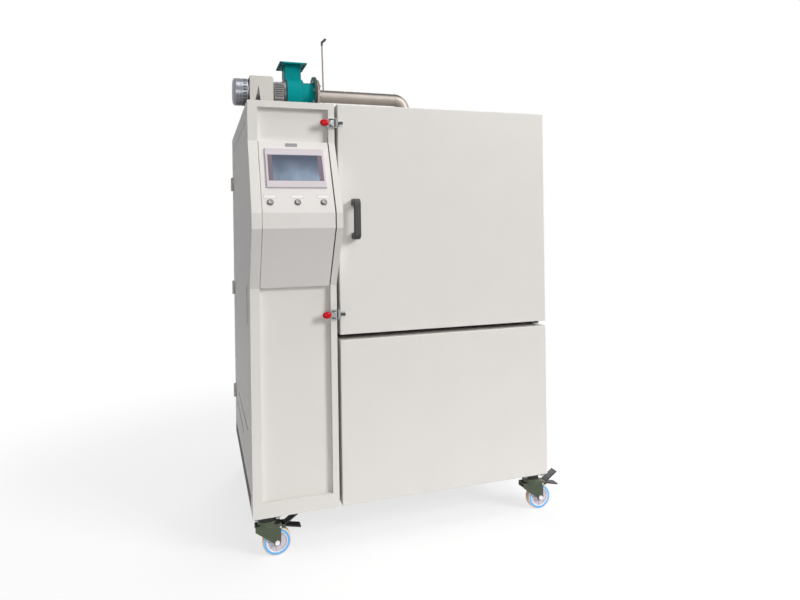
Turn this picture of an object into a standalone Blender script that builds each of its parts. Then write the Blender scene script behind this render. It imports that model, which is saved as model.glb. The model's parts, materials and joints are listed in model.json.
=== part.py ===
"""Box furnace on casters: a control column, a side-hung chamber door and a blower on the roof.

X runs to the right, Y into the depth and Z up. While the pieces are made, the column's left side is
X = 0 and its front is Y = 0. stand_on_origin() then sets the furnace over the middle of its floor.
"""

import math

import bpy
import bmesh
from mathutils import Matrix, Vector

# Cabinet
WIDTH = 1.28
DEPTH = 1.11
BODY_HEIGHT = 1.60
SHEET = 0.002
SEAT_GAP = 0.0003
OVERRUN = 0.01
SKIN_DEPTH = 0.088
BASE_HEIGHT = 0.057
ROOF_SKIRT = 0.069
FRONT_PLATE = 0.003

# Control column
COLUMN_WIDTH = 0.336
LEFT_STILE = 0.037
RIGHT_STILE = 0.025
TOP_RAIL = 0.025
RECESS = 0.022
BULGE_DROP = 0.1553
BULGE_SLOPE_RISE = 0.2797
BULGE_NOSE_RISE = 0.0574
BULGE_UNDERSIDE_RISE = 0.2273
BULGE_REACH = 0.136
INSERT_GAP_LEFT = 0.0015
INSERT_GAP_RIGHT = 0.0045

# Touch screen on the upper slope, measured down the slope from its top edge
BEZEL_WIDTH = 0.2265
BEZEL_HEIGHT = 0.172
BEZEL_PROUD = 0.0075
BEZEL_LEFT = 0.059
BEZEL_DOWN = 0.0355
BEZEL_EDGE = 0.003
SCREEN_WIDTH = 0.208
SCREEN_HEIGHT = 0.114
SCREEN_DOWN = 0.0300
SCREEN_POCKET = 0.0032
SCREEN_THICK = 0.0020

# Push buttons
BUTTON_PLACES = (0.069, 0.169, 0.267)
BUTTON_DOWN = 0.268
BUTTON_RING_RADIUS = 0.0120
BUTTON_RING_PROUD = 0.0035
BUTTON_CAP_RADIUS = 0.0088
BUTTON_CAP_PROUD = 0.0075
BUTTON_DOME = 0.0012
BUTTON_CLEARANCE = 0.0004
BUTTON_BACK = 0.012
BUTTON_SIDES = 16

# Chamber
CHAMBER_WIDTH = 0.60
CHAMBER_HEIGHT = 0.60
CHAMBER_DROP = 0.17
REAR_LINING = 0.1764
FLOOR_LINING = 0.150
DECK_THICK = 0.015
HEARTH_THICK = 0.020
HEARTH_MARGIN = 0.030

# Heating elements: a meander of rod on each side wall
ELEMENT_ROD = 0.006
ELEMENT_RUNS = 6
ELEMENT_SPACING = 0.080
ELEMENT_END_SPACE = 0.094
ELEMENT_BEND_STEPS = 4
ELEMENT_SIDES_RESOLUTION = 1

THERMOCOUPLE_RADIUS = 0.007
THERMOCOUPLE_LENGTH = 0.120
THERMOCOUPLE_DROP = 0.120
THERMOCOUPLE_COLLAR = 0.014
THERMOCOUPLE_COLLAR_LENGTH = 0.010

# Furnace door and the cover below it
DOOR_GAP = 0.0127
DOOR_HEIGHT = 0.9185
DOOR_THICK = 0.080
COVER_GAP = 0.0215
EDGE_RADIUS = 0.003
EDGE_STEPS = 2
DOOR_FILL_BACK = 0.001
HINGE_CHANNEL = 0.068
PLUG_CLEARANCE = 0.012
PLUG_DEPTH = 0.052
PLUG_DRAFT = 0.010
GASKET_INSET = 0.014
GASKET_BREADTH = 0.030

# Furnace door hinge
HINGE_FROM_SIDE = 0.022
HINGE_FROM_FRONT = 0.040
HINGE_PIN_RADIUS = 0.006
HINGE_BUSH_RADIUS = 0.011
HINGE_COLLAR_RADIUS = 0.0088
HINGE_CLEARANCE = 0.0005
HINGE_PLATE = 0.006
HINGE_ARM_HALF = 0.009
HINGE_PIN_LENGTH = 0.034
HINGE_FOOT_THICK = 0.004
HINGE_FOOT_WIDTH = 0.050
LOWER_PLATE_DROP = 0.007
UPPER_ARM_DROP = 0.060
UPPER_SLOT_CLEARANCE = 0.002
UPPER_SLOT_FRONT = 0.014
HINGE_SIDES = 16

# Door handle
HANDLE_X = 0.413
HANDLE_RISE = 0.3795
HANDLE_LENGTH = 0.161
HANDLE_REACH = 0.055
HANDLE_WIDTH = 0.027
HANDLE_FOOT = 0.026
HANDLE_BAR = 0.014
HANDLE_CORNER = 0.020
HANDLE_INNER_CORNER = 0.010
HANDLE_CORNER_STEPS = 4

# Toggle latches
UPPER_LATCH_DROP = 0.078
LOWER_LATCH_RISE = 0.0835
LATCH_PIVOT_X = 0.322
LATCH_PIVOT_OUT = 0.012
LATCH_LINK_LEFT = 0.014
LATCH_LINK_BACK = 0.004
LATCH_PLATE_LEFT = 0.3122
LATCH_PLATE_RIGHT = 0.3345
LATCH_PLATE_HALF = 0.021
LATCH_PLATE_THICK = 0.0025
LUG_THICK = 0.003
LUG_INNER = 0.0125
LUG_RADIUS = 0.007
LATCH_PIN = 0.0025
LINK_PIN = 0.0020
LATCH_CLEARANCE = 0.0003
LEVER_HUB = 0.0050
LEVER_EYE = 0.0042
LEVER_HALF = 0.0095
LEVER_BAR_THICK = 0.006
LEVER_BAR_HALF = 0.005
CHEEK_FRONT_SHARE = 0.9
CHEEK_BACK_SHARE = 0.6
GRIP_SIDES = 12
GRIP_RINGS = 6
GRIP_CENTRE_X = 0.294
GRIP_HALF_LENGTH = 0.018
GRIP_HALF_HEIGHT = 0.0135
GRIP_HALF_THICK = 0.0075
GRIP_OUT = 0.015
STRAP_INNER = 0.0163
STRAP_THICK = 0.0025
STRAP_HALF = 0.0028
STRAP_END = 0.3485
CLAW_LENGTH = 0.009
CLAW_HALF = 0.008
KEEPER_RIGHT = 0.370
KEEPER_GAP = 0.001
KEEPER_HALF = 0.012
KEEPER_PLATE = 0.002
KEEPER_PROUD = 0.013
KEEPER_POST = 0.008
KEEPER_POST_HALF = 0.006
LATCH_SIDES = 10

# Blower on the roof; its axis runs along X
FAN_Y = 0.560
FAN_AXIS_ABOVE_ROOF = 0.149
MOTOR_RADIUS = 0.063
COWL_TAIL = -0.0235
COWL_END = 0.045
COWL_ROUND = 0.012
COWL_ROUND_SHARE = 0.3
COWL_SIDES = 28
MOTOR_BODY_END = 0.158
MOTOR_NECK_RADIUS = 0.054
MOTOR_FLANGE_START = 0.207
MOTOR_FLANGE_RADIUS = 0.070
TERMINAL_BOX_START = 0.163
TERMINAL_BOX_END = 0.203
TERMINAL_BOX_HALF = 0.036
TERMINAL_BOX_RISE = 0.020
STAND_LEFT = 0.050
STAND_RIGHT = 0.158
STAND_SHEET = 0.003
STAND_CORNER = 0.012
STAND_FOOT = 0.020
STAND_WINDOW_SHARES = ((0.06, 0.10), (0.54, 0.10), (0.37, 0.80))

SCROLL_LEFT = 0.2190
SCROLL_WIDTH = 0.078
SCROLL_SHEET = 0.0025
SCROLL_START_RADIUS = 0.072
SCROLL_END_RADIUS = 0.104
SCROLL_STEPS = 26
SCROLL_SWEEP = math.radians(270)
OUTLET_ABOVE_AXIS = 0.151
OUTLET_BREADTH = 0.100
OUTLET_FLANGE_X = 0.128
OUTLET_FLANGE_Y = 0.160
OUTLET_FLANGE_THICK = 0.006
SHAFT_HOLE_RADIUS = 0.014
INLET_HOLE_RADIUS = 0.052
NECK_RADIUS = 0.059
NECK_COVER_RADIUS = 0.069
NECK_COVER_THICK = 0.003
NECK_END = 0.349
INLET_FLANGE_RADIUS = 0.090
INLET_FLANGE_THICK = 0.0135
INLET_BORE = 0.032
ROUND_SIDES = 28

IMPELLER_RADIUS = 0.060
IMPELLER_EYE = 0.034
IMPELLER_CLEARANCE = 0.006
IMPELLER_PLATE = 0.003
IMPELLER_HUB = 0.014
IMPELLER_NOSE = 0.011
IMPELLER_HUB_LENGTH = 0.026
IMPELLER_WIDTH = 0.058
BLADE_COUNT = 10
BLADE_STEPS = 4
BLADE_THICK = 0.0025
BLADE_SWEEP = math.radians(48)
SHAFT_RADIUS = 0.007
SHAFT_IN_MOTOR = 0.030

# Exhaust pipe from the inlet flange to the roof
PIPE_RADIUS = 0.03015
PIPE_X = 0.815
PIPE_BEND = 0.051
PIPE_BEND_STEPS = 8
PIPE_FLANGE_RADIUS = 0.077
PIPE_FLANGE_THICK = 0.012
PIPE_COLLAR_RADIUS = 0.046
PIPE_COLLAR_THICK = 0.004
PIPE_SIDES_RESOLUTION = 4

# Slim vent tube
VENT_X = 0.446
VENT_Y = 0.750
VENT_RADIUS = 0.004
VENT_HEIGHT = 0.470
VENT_LEAN = -0.008
VENT_CAP_RADIUS = 0.0065
VENT_CAP_RINGS = 8
VENT_STEM_RADIUS = 0.0064
VENT_CAP_LENGTH = 0.028
VENT_CAP_TILT = math.radians(45)
VENT_SIDES = 12
VENT_COLLAR_RADIUS = 0.012
VENT_COLLAR_THICK = 0.004

# Service door on the left side and its flush handle
SERVICE_THICK = 0.018
SERVICE_GAP = 0.003
REAR_RETURN = 0.055
SERVICE_AXIS_OUT = 0.007
KNUCKLE_RADIUS = 0.006
KNUCKLE_LENGTH = 0.036
KNUCKLE_PIN = 0.003
KNUCKLE_CLEARANCE = 0.0004
KNUCKLE_WEB = 0.0025
FLAP_REACH = 0.024
KNUCKLE_SHARES = (0.12, 0.5, 0.88)
KNUCKLE_SIDES = 10
RIB_RADIUS = 0.004
RIB_SIDES = 8
RIB_PLACES = ((0.455, 0.19, 0.80), (0.370, 0.43, 0.94))
FLUSH_LEFT = 0.120
FLUSH_WIDTH = 0.026
FLUSH_DROP = 0.715
FLUSH_HEIGHT = 0.159
FLUSH_RIM = 0.004
FLUSH_PROUD = 0.002
FLUSH_POCKET = 0.011
FLUSH_CLEARANCE = 0.0012
FLUSH_LEVER_THICK = 0.007
FLUSH_PIN = 0.0025
FLUSH_ROUND = 0.0034
FLUSH_SIDES = 12

# Control gear on its mounting plate
GEAR_PLATE = 0.002
GEAR_FRONT = 0.22
GEAR_BACK = 0.21
GEAR_RISE = 0.25
GEAR_DROP = 0.25
GEAR_DEEP = 0.085
GEAR_ROW_SHARES = ((0.06, 0.16, 0.8), (0.30, 0.10, 1.0), (0.50, 0.13, 0.7), (0.74, 0.18, 0.9))
GEAR_MARGIN = 0.06

# Rear panel louvres
LOUVRE_COUNT = 6
LOUVRE_LENGTH = 0.24
LOUVRE_PITCH = 0.030
LOUVRE_RISE = 0.010
LOUVRE_HEIGHT = 0.014
LOUVRE_BOTTOM = 0.34
LOUVRE_INSET = 0.045

# Casters; the wheels' axles run along Y
CASTER_HEIGHT = 0.17
CASTER_INSET_X = 0.057
CASTER_INSET_Y = 0.055
CASTER_TRAIL = 0.037
WHEEL_RADIUS = 0.055
WHEEL_WIDTH = 0.032
WHEEL_SHOULDER = 0.004
WHEEL_RIM_RADIUS = 0.043
WHEEL_DISH = 0.005
WHEEL_HUB_RADIUS = 0.018
WHEEL_BOSS_RADIUS = 0.0126
WHEEL_SIDES = 20
AXLE_RADIUS = 0.005
AXLE_CLEARANCE = 0.0005
AXLE_NUT_RADIUS = 0.010
AXLE_NUT_THICK = 0.006
NUT_SIDES = 6
FORK_SHEET = 0.0035
FORK_INNER_HALF = 0.0205
FORK_TOP = 0.126
FORK_LEFT = 0.046
FORK_RIGHT = 0.052
FORK_SHOULDER_DROP = 0.020
FORK_EYE = 0.015
RACE_RADIUS = 0.037
RACE_LOWER = 0.018
TOP_PLATE_THICK = 0.007
TOP_PLATE_HALF_X = 0.052
TOP_PLATE_HALF_Y = 0.042
KINGPIN_RADIUS = 0.007
KINGPIN_CLEARANCE = 0.0005
KINGPIN_HEAD_RADIUS = 0.012
KINGPIN_HEAD_THICK = 0.006
PEDAL_OUT = 0.062
PEDAL_Z = 0.115
PEDAL_HUB = 0.0065
PEDAL_PIN = 0.003
PEDAL_THICK = 0.005
PEDAL_HALF = 0.0195
PEDAL_UPPER_OUT = 0.124
PEDAL_UPPER_Z = 0.158
PEDAL_LOWER_OUT = 0.130
PEDAL_LOWER_Z = 0.100
CASTER_SIDES = 16

# Heights that follow from the sizes above
BODY_BOTTOM = CASTER_HEIGHT
ROOF = BODY_BOTTOM + BODY_HEIGHT
BASE_TOP = BODY_BOTTOM + BASE_HEIGHT
SKIRT_BOTTOM = ROOF - ROOF_SKIRT
BULGE_TOP = ROOF - BULGE_DROP
BULGE_SLOPE_FOOT = BULGE_TOP - BULGE_SLOPE_RISE
BULGE_NOSE_FOOT = BULGE_SLOPE_FOOT - BULGE_NOSE_RISE
BULGE_BOTTOM = BULGE_NOSE_FOOT - BULGE_UNDERSIDE_RISE
CHAMBER_ROOF = ROOF - CHAMBER_DROP
CHAMBER_FLOOR = CHAMBER_ROOF - CHAMBER_HEIGHT
DECK_TOP = CHAMBER_FLOOR - FLOOR_LINING
DOOR_BOTTOM = ROOF - DOOR_HEIGHT
COVER_TOP = DOOR_BOTTOM - COVER_GAP
HANDLE_BOTTOM = DOOR_BOTTOM + HANDLE_RISE
HANDLE_TOP = HANDLE_BOTTOM + HANDLE_LENGTH
LATCH_HEIGHTS = {"upper": ROOF - UPPER_LATCH_DROP, "lower": DOOR_BOTTOM + LOWER_LATCH_RISE}
FLUSH_TOP = ROOF - FLUSH_DROP
FLUSH_BOTTOM = FLUSH_TOP - FLUSH_HEIGHT
GEAR_TOP = ROOF - GEAR_DROP
GEAR_BOTTOM = BODY_BOTTOM + GEAR_RISE
FAN_Z = ROOF + FAN_AXIS_ABOVE_ROOF
DOOR_LEFT = COLUMN_WIDTH + DOOR_GAP
REAR_FACE = DEPTH - SHEET - SEAT_GAP
FRONT_BACK = SKIN_DEPTH + FRONT_PLATE
LINING_LEFT = COLUMN_WIDTH + SEAT_GAP
LINING_RIGHT = WIDTH - SHEET - SEAT_GAP
LINING_FRONT = FRONT_BACK + SEAT_GAP
LINING_TOP = ROOF - SHEET - SEAT_GAP
CHAMBER_LEFT = (LINING_LEFT + LINING_RIGHT - CHAMBER_WIDTH) / 2
CHAMBER_RIGHT = CHAMBER_LEFT + CHAMBER_WIDTH
CHAMBER_BACK = REAR_FACE - REAR_LINING
HINGE_X = WIDTH - HINGE_FROM_SIDE
SERVICE_FRONT = SKIN_DEPTH + SERVICE_GAP
SERVICE_REAR = DEPTH - REAR_RETURN - SERVICE_GAP
SERVICE_BOTTOM = BASE_TOP + SERVICE_GAP
SERVICE_TOP = SKIRT_BOTTOM - SERVICE_GAP

# Colour, roughness and metallic value of each finish
FINISHES = {
    "cabinet_paint": ((0.72, 0.70, 0.67), 0.45, 0.0),
    "dark_steel": ((0.05, 0.045, 0.04), 0.60, 0.3),
    "console_paint": ((0.74, 0.71, 0.69), 0.45, 0.0),
    "bezel_plastic": ((0.66, 0.58, 0.62), 0.40, 0.0),
    "screen_glass": ((0.10, 0.13, 0.18), 0.15, 0.0),
    "button_plastic": ((0.10, 0.10, 0.10), 0.35, 0.0),
    "black_plastic": ((0.03, 0.03, 0.035), 0.45, 0.0),
    "red_plastic": ((0.60, 0.01, 0.02), 0.35, 0.0),
    "bright_steel": ((0.62, 0.61, 0.59), 0.30, 1.0),
    "stainless_pipe": ((0.60, 0.57, 0.52), 0.28, 1.0),
    "blower_paint": ((0.0, 0.28, 0.28), 0.40, 0.0),
    "motor_metal": ((0.22, 0.23, 0.24), 0.45, 0.7),
    "fibre_lining": ((0.86, 0.84, 0.78), 0.95, 0.0),
    "hearth_ceramic": ((0.55, 0.47, 0.38), 0.90, 0.0),
    "element_metal": ((0.20, 0.15, 0.12), 0.55, 0.8),
    "gasket_rope": ((0.70, 0.66, 0.58), 0.95, 0.0),
    "fork_paint": ((0.10, 0.13, 0.08), 0.45, 0.3),
    "wheel_plastic": ((0.20, 0.50, 0.85), 0.40, 0.0),
    "gear_plastic": ((0.45, 0.45, 0.43), 0.55, 0.0),
}

AXES = {"X": Vector((1, 0, 0)), "Y": Vector((0, 1, 0)), "Z": Vector((0, 0, 1))}
PLACES = {}


def clear_scene():
    for thing in list(bpy.data.objects):
        bpy.data.objects.remove(thing, do_unlink=True)


def finish(slot):
    """Gives the material of one finish, made on its first use."""
    known = bpy.data.materials.get(slot)
    if known:
        return known
    colour, roughness, metallic = FINISHES[slot]
    paint = bpy.data.materials.new(slot)
    paint.use_nodes = True
    shader = paint.node_tree.nodes["Principled BSDF"]
    shader.inputs["Base Color"].default_value = (*colour, 1)
    shader.inputs["Roughness"].default_value = roughness
    shader.inputs["Metallic"].default_value = metallic
    paint.diffuse_color = (*colour, 1)
    return paint


def block(low, high):
    """A box between two corners."""
    shape = bmesh.new()
    bmesh.ops.create_cube(shape, size=1)
    low, high = Vector(low), Vector(high)
    bmesh.ops.scale(shape, vec=high - low, verts=shape.verts)
    bmesh.ops.translate(shape, vec=(low + high) / 2, verts=shape.verts)
    return shape


def lifted(along, place, first, second):
    """A point of an outline: (y, z) for along X, (x, z) for along Y and (x, y) for along Z."""
    if along == "X":
        return Vector((place, first, second))
    if along == "Y":
        return Vector((first, place, second))
    return Vector((first, second, place))


def prism(outline, along, start, end):
    """A flat outline drawn out along one axis."""
    shape = bmesh.new()
    corners = [shape.verts.new(lifted(along, start, *point)) for point in outline]
    face = shape.faces.new(corners)
    drawn = bmesh.ops.extrude_face_region(shape, geom=[face])["geom"]
    moved = [item for item in drawn if isinstance(item, bmesh.types.BMVert)]
    bmesh.ops.translate(shape, vec=AXES[along] * (end - start), verts=moved)
    bmesh.ops.recalc_face_normals(shape, faces=shape.faces)
    return shape


def turned(profile, centre, along, sides=ROUND_SIDES, ring=False, phase=0):
    """A profile of (place along the axis, radius) spun about that axis through centre."""
    shape = bmesh.new()
    axis = AXES[along]
    across = AXES["Z"] if along != "Z" else AXES["X"]
    across = Matrix.Rotation(phase, 3, axis) @ across
    centre = Vector(centre)
    points = [shape.verts.new(centre + axis * place + across * radius) for place, radius in profile]
    pairs = list(zip(points, points[1:]))
    if ring:
        pairs.append((points[-1], points[0]))
    edges = [shape.edges.new(pair) for pair in pairs]
    bmesh.ops.spin(
        shape, geom=points + edges, axis=axis, cent=centre, angle=math.tau, steps=sides, use_merge=True
    )
    bmesh.ops.remove_doubles(shape, verts=shape.verts, dist=SEAT_GAP / 100)
    bmesh.ops.recalc_face_normals(shape, faces=shape.faces)
    return shape


def rod(start, end, radius, sides=ROUND_SIDES, phase=0):
    """A round bar between two points."""
    start, end = Vector(start), Vector(end)
    turn = (end - start).to_track_quat("Z", "Y").to_matrix().to_4x4()
    place = Matrix.Translation((start + end) / 2) @ turn @ Matrix.Rotation(phase, 4, "Z")
    shape = bmesh.new()
    bmesh.ops.create_cone(
        shape, cap_ends=True, segments=sides, radius1=radius, radius2=radius,
        depth=(end - start).length, matrix=place,
    )
    return shape


def disc(centre, along, start, end, radius, sides=ROUND_SIDES):
    """A round bar along one axis, from start to end past centre."""
    centre, axis = Vector(centre), AXES[along]
    return rod(centre + axis * start, centre + axis * end, radius, sides)


def rounded(points, radius, steps):
    """The outline with every corner turned into an arc. A radius may be given for each corner."""
    count = len(points)
    radii = radius if isinstance(radius, (list, tuple)) else [radius] * count
    result = []
    for number, corner in enumerate(points):
        here = Vector(corner)
        if not radii[number]:
            result.append(tuple(here))
            continue
        before = (Vector(points[number - 1]) - here).normalized()
        after = (Vector(points[(number + 1) % count]) - here).normalized()
        half = before.angle(after) / 2
        middle = here + (before + after).normalized() * radii[number] / math.sin(half)
        first = here + before * radii[number] / math.tan(half) - middle
        last = here + after * radii[number] / math.tan(half) - middle
        swing = first.angle_signed(last)
        for step in range(steps + 1):
            angle = -swing * step / steps
            turned_arm = Vector((
                first.x * math.cos(angle) - first.y * math.sin(angle),
                first.x * math.sin(angle) + first.y * math.cos(angle),
            ))
            result.append(tuple(middle + turned_arm))
    return result


def as_object(name, shape):
    mesh = bpy.data.meshes.new(name)
    shape.to_mesh(mesh)
    shape.free()
    thing = bpy.data.objects.new(name, mesh)
    bpy.context.scene.collection.objects.link(thing)
    return thing


def settled(thing):
    """The object's mesh as its modifiers or its curve leave it."""
    graph = bpy.context.evaluated_depsgraph_get()
    return bpy.data.meshes.new_from_object(thing.evaluated_get(graph))


def solid(name, slot, body, hollow=(), joined=(), cut=(), carrier=None):
    """One sub-part: a body, hollowed first, then the shapes welded to it and last the shapes cut from it.

    With a carrier, an empty on a joint's axis, the piece gets its origin there and hangs from it.
    """
    thing = as_object(name, body)
    helpers = []
    for operation, shapes in (("DIFFERENCE", hollow), ("UNION", joined), ("DIFFERENCE", cut)):
        for shape in shapes:
            helper = as_object(name + "_helper", shape)
            helpers.append(helper)
            step = thing.modifiers.new(operation.lower(), "BOOLEAN")
            step.operation = operation
            step.solver = "EXACT"
            step.object = helper
    if helpers:
        rough = thing.data
        thing.data = settled(thing)
        thing.modifiers.clear()
        bpy.data.meshes.remove(rough)
        for helper in helpers:
            left_over = helper.data
            bpy.data.objects.remove(helper)
            bpy.data.meshes.remove(left_over)
    thing.data.name = name
    thing.data.materials.clear()
    thing.data.materials.append(finish(slot))
    thing.data.shade_smooth()
    thing.data.set_sharp_from_angle(angle=math.radians(30))
    if carrier:
        thing.data.transform(Matrix.Translation(-PLACES[carrier.name]))
        thing.parent = carrier
    return thing


def axis_empty(name, place, carrier=None):
    """An empty on a joint's axis, carried by another one or by the cabinet."""
    empty = bpy.data.objects.new(name, None)
    bpy.context.scene.collection.objects.link(empty)
    PLACES[name] = Vector(place)
    empty.location = PLACES[name] - (PLACES[carrier.name] if carrier else Vector())
    empty.parent = carrier
    return empty


def moved(shape, offset):
    bmesh.ops.translate(shape, vec=Vector(offset), verts=shape.verts)
    return shape


def placed(shape, matrix):
    bmesh.ops.transform(shape, matrix=matrix, verts=shape.verts)
    return shape


def soft_edged(shape, radius, steps=EDGE_STEPS, keep=None):
    """Rounds the edges of a shape, or only those that keep(edge) picks."""
    edges = [edge for edge in shape.edges if keep is None or keep(edge)]
    bmesh.ops.bevel(
        shape, geom=edges, offset=radius, offset_type="OFFSET", segments=steps, profile=0.5,
        affect="EDGES", material=-1,
    )
    return shape


def on_front(edge):
    """True for an edge of a box's front face, the one with the least Y."""
    front = min(vert.co.y for vert in edge.link_faces[0].verts[:] + edge.link_faces[1].verts[:])
    return all(abs(vert.co.y - front) < SEAT_GAP for vert in edge.verts)


def tray(low, high):
    """A sheet tray, open at the back, with softened front edges. Returns its body and its hollow."""
    low, high = Vector(low), Vector(high)
    body = soft_edged(block(low, high), EDGE_RADIUS, keep=on_front)
    wall = Vector((SHEET, SHEET, SHEET))
    hollow = block(low + wall, (high.x - SHEET, high.y + OVERRUN, high.z - SHEET))
    return body, hollow


def bulge_outline(inset, back):
    """The side view of the console's bulge, drawn in by a sheet's thickness."""
    upper = math.atan2(BULGE_REACH, BULGE_TOP - BULGE_SLOPE_FOOT)
    lower = math.atan2(BULGE_REACH, BULGE_NOSE_FOOT - BULGE_BOTTOM)
    shoulder = inset * math.tan(upper / 2)
    knee = inset * math.tan(lower / 2)
    return [
        (back, BULGE_TOP - inset),
        (inset / math.cos(upper) - inset * math.tan(upper), BULGE_TOP - inset),
        (inset - BULGE_REACH, BULGE_SLOPE_FOOT - shoulder),
        (inset - BULGE_REACH, BULGE_NOSE_FOOT + knee),
        (inset / math.cos(lower) - inset * math.tan(lower), BULGE_BOTTOM + inset),
        (back, BULGE_BOTTOM + inset),
    ]


def column_outline(inset, back):
    """The side view of the whole column, drawn in by a sheet's thickness."""
    upper = math.atan2(BULGE_REACH, BULGE_TOP - BULGE_SLOPE_FOOT)
    lower = math.atan2(BULGE_REACH, BULGE_NOSE_FOOT - BULGE_BOTTOM)
    return [
        (back, ROOF - inset),
        (inset, ROOF - inset),
        (inset, BULGE_TOP + inset * math.tan(upper / 2)),
        (inset - BULGE_REACH, BULGE_SLOPE_FOOT - inset * math.tan(upper / 2)),
        (inset - BULGE_REACH, BULGE_NOSE_FOOT + inset * math.tan(lower / 2)),
        (inset, BULGE_BOTTOM - inset * math.tan(lower / 2)),
        (inset, BODY_BOTTOM + inset),
        (back, BODY_BOTTOM + inset),
    ]


WINDOW_LEFT = LEFT_STILE
WINDOW_RIGHT = COLUMN_WIDTH - RIGHT_STILE
WINDOW_TOP = ROOF - TOP_RAIL
PANEL_LEFT = SHEET + SEAT_GAP
PANEL_RIGHT = COLUMN_WIDTH - SHEET - SEAT_GAP


def make_column_front_frame():
    body = prism(column_outline(0, SKIN_DEPTH - SEAT_GAP), "X", 0, COLUMN_WIDTH)
    hollow = prism(column_outline(SHEET, SKIN_DEPTH + OVERRUN), "X", SHEET, COLUMN_WIDTH - SHEET)
    window = block(
        (WINDOW_LEFT, -BULGE_REACH - OVERRUN, BASE_TOP), (WINDOW_RIGHT, SKIN_DEPTH + OVERRUN, WINDOW_TOP)
    )
    reveal_low = (WINDOW_LEFT - SHEET, SHEET / 2, BASE_TOP - SHEET)
    lower_reveal = block(reveal_low, (WINDOW_RIGHT + SHEET, RECESS, BULGE_BOTTOM - SHEET))
    upper_reveal = block(
        (WINDOW_LEFT - SHEET, SHEET / 2, BULGE_TOP + SHEET),
        (WINDOW_RIGHT + SHEET, RECESS, WINDOW_TOP + SHEET),
    )
    solid(
        "column_front_frame", "cabinet_paint", body,
        hollow=[hollow], joined=[lower_reveal, upper_reveal], cut=[window],
    )


def make_column_panel():
    """The recessed sheet that closes the window, seen above and below the console."""
    back = RECESS + SEAT_GAP
    foot, head = BODY_BOTTOM + SHEET + SEAT_GAP, ROOF - SHEET - SEAT_GAP
    solid("column_panel", "cabinet_paint", block((PANEL_LEFT, back, foot), (PANEL_RIGHT, back + SHEET, head)))


SLOPE_DOWN = Vector((0, -BULGE_REACH, BULGE_SLOPE_FOOT - BULGE_TOP)).normalized()
SLOPE_OUT = Vector((0, SLOPE_DOWN.z, -SLOPE_DOWN.y))


def on_slope(x, down, out=0.0):
    """The matrix that sets a shape on the upper slope: X along it, Y up it and Z straight out of it."""
    place = Vector((x, 0, BULGE_TOP)) + SLOPE_DOWN * down + SLOPE_OUT * out
    turn = Matrix((AXES["X"], -SLOPE_DOWN, SLOPE_OUT)).transposed().to_4x4()
    return Matrix.Translation(place) @ turn


def make_console_panel():
    left, right = WINDOW_LEFT + INSERT_GAP_LEFT, WINDOW_RIGHT - INSERT_GAP_RIGHT
    body = prism(bulge_outline(0, RECESS), "X", left, right)
    hollow = prism(bulge_outline(SHEET, RECESS + OVERRUN), "X", left + SHEET, right - SHEET)
    rings = [
        placed(disc((0, 0, 0), "Z", -SHEET / 2, BUTTON_RING_PROUD, BUTTON_RING_RADIUS, BUTTON_SIDES),
               on_slope(x, BUTTON_DOWN))
        for x in BUTTON_PLACES
    ]
    bore = BUTTON_CAP_RADIUS + BUTTON_CLEARANCE
    bores = [
        placed(disc((0, 0, 0), "Z", -OVERRUN, OVERRUN, bore, BUTTON_SIDES), on_slope(x, BUTTON_DOWN))
        for x in BUTTON_PLACES
    ]
    solid("console_panel", "console_paint", body, hollow=[hollow], joined=rings, cut=bores)


def make_touch_screen():
    centre_x = BEZEL_LEFT + BEZEL_WIDTH / 2
    half_x, half_y = BEZEL_WIDTH / 2, BEZEL_HEIGHT / 2
    middle = on_slope(centre_x, BEZEL_DOWN + half_y)
    body = block((-half_x, -half_y, SEAT_GAP), (half_x, half_y, BEZEL_PROUD))
    soft_edged(body, BEZEL_EDGE, keep=lambda edge: all(vert.co.z > BEZEL_PROUD / 2 for vert in edge.verts))
    screen_top = half_y - SCREEN_DOWN
    pocket = block(
        (-SCREEN_WIDTH / 2, screen_top - SCREEN_HEIGHT, BEZEL_PROUD - SCREEN_POCKET),
        (SCREEN_WIDTH / 2, screen_top, BEZEL_PROUD + OVERRUN),
    )
    solid("touch_screen_bezel", "bezel_plastic", placed(body, middle), cut=[placed(pocket, middle)])
    floor = BEZEL_PROUD - SCREEN_POCKET + SEAT_GAP
    glass = block(
        (SEAT_GAP - SCREEN_WIDTH / 2, screen_top - SCREEN_HEIGHT + SEAT_GAP, floor),
        (SCREEN_WIDTH / 2 - SEAT_GAP, screen_top - SEAT_GAP, floor + SCREEN_THICK),
    )
    solid("touch_screen", "screen_glass", placed(glass, middle))


def make_buttons():
    """Round caps that slide straight into the slope."""
    for number, x in enumerate(BUTTON_PLACES, start=1):
        axis = axis_empty(f"button_{number}_axis", on_slope(x, BUTTON_DOWN).translation)
        cap = turned(
            [
                (-BUTTON_BACK, 0), (-BUTTON_BACK, BUTTON_CAP_RADIUS),
                (BUTTON_CAP_PROUD - BUTTON_DOME, BUTTON_CAP_RADIUS),
                (BUTTON_CAP_PROUD, BUTTON_CAP_RADIUS - BUTTON_DOME), (BUTTON_CAP_PROUD, 0),
            ],
            (0, 0, 0), "Z", BUTTON_SIDES,
        )
        solid(f"push_button_{number}", "button_plastic", placed(cap, on_slope(x, BUTTON_DOWN)), carrier=axis)


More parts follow.
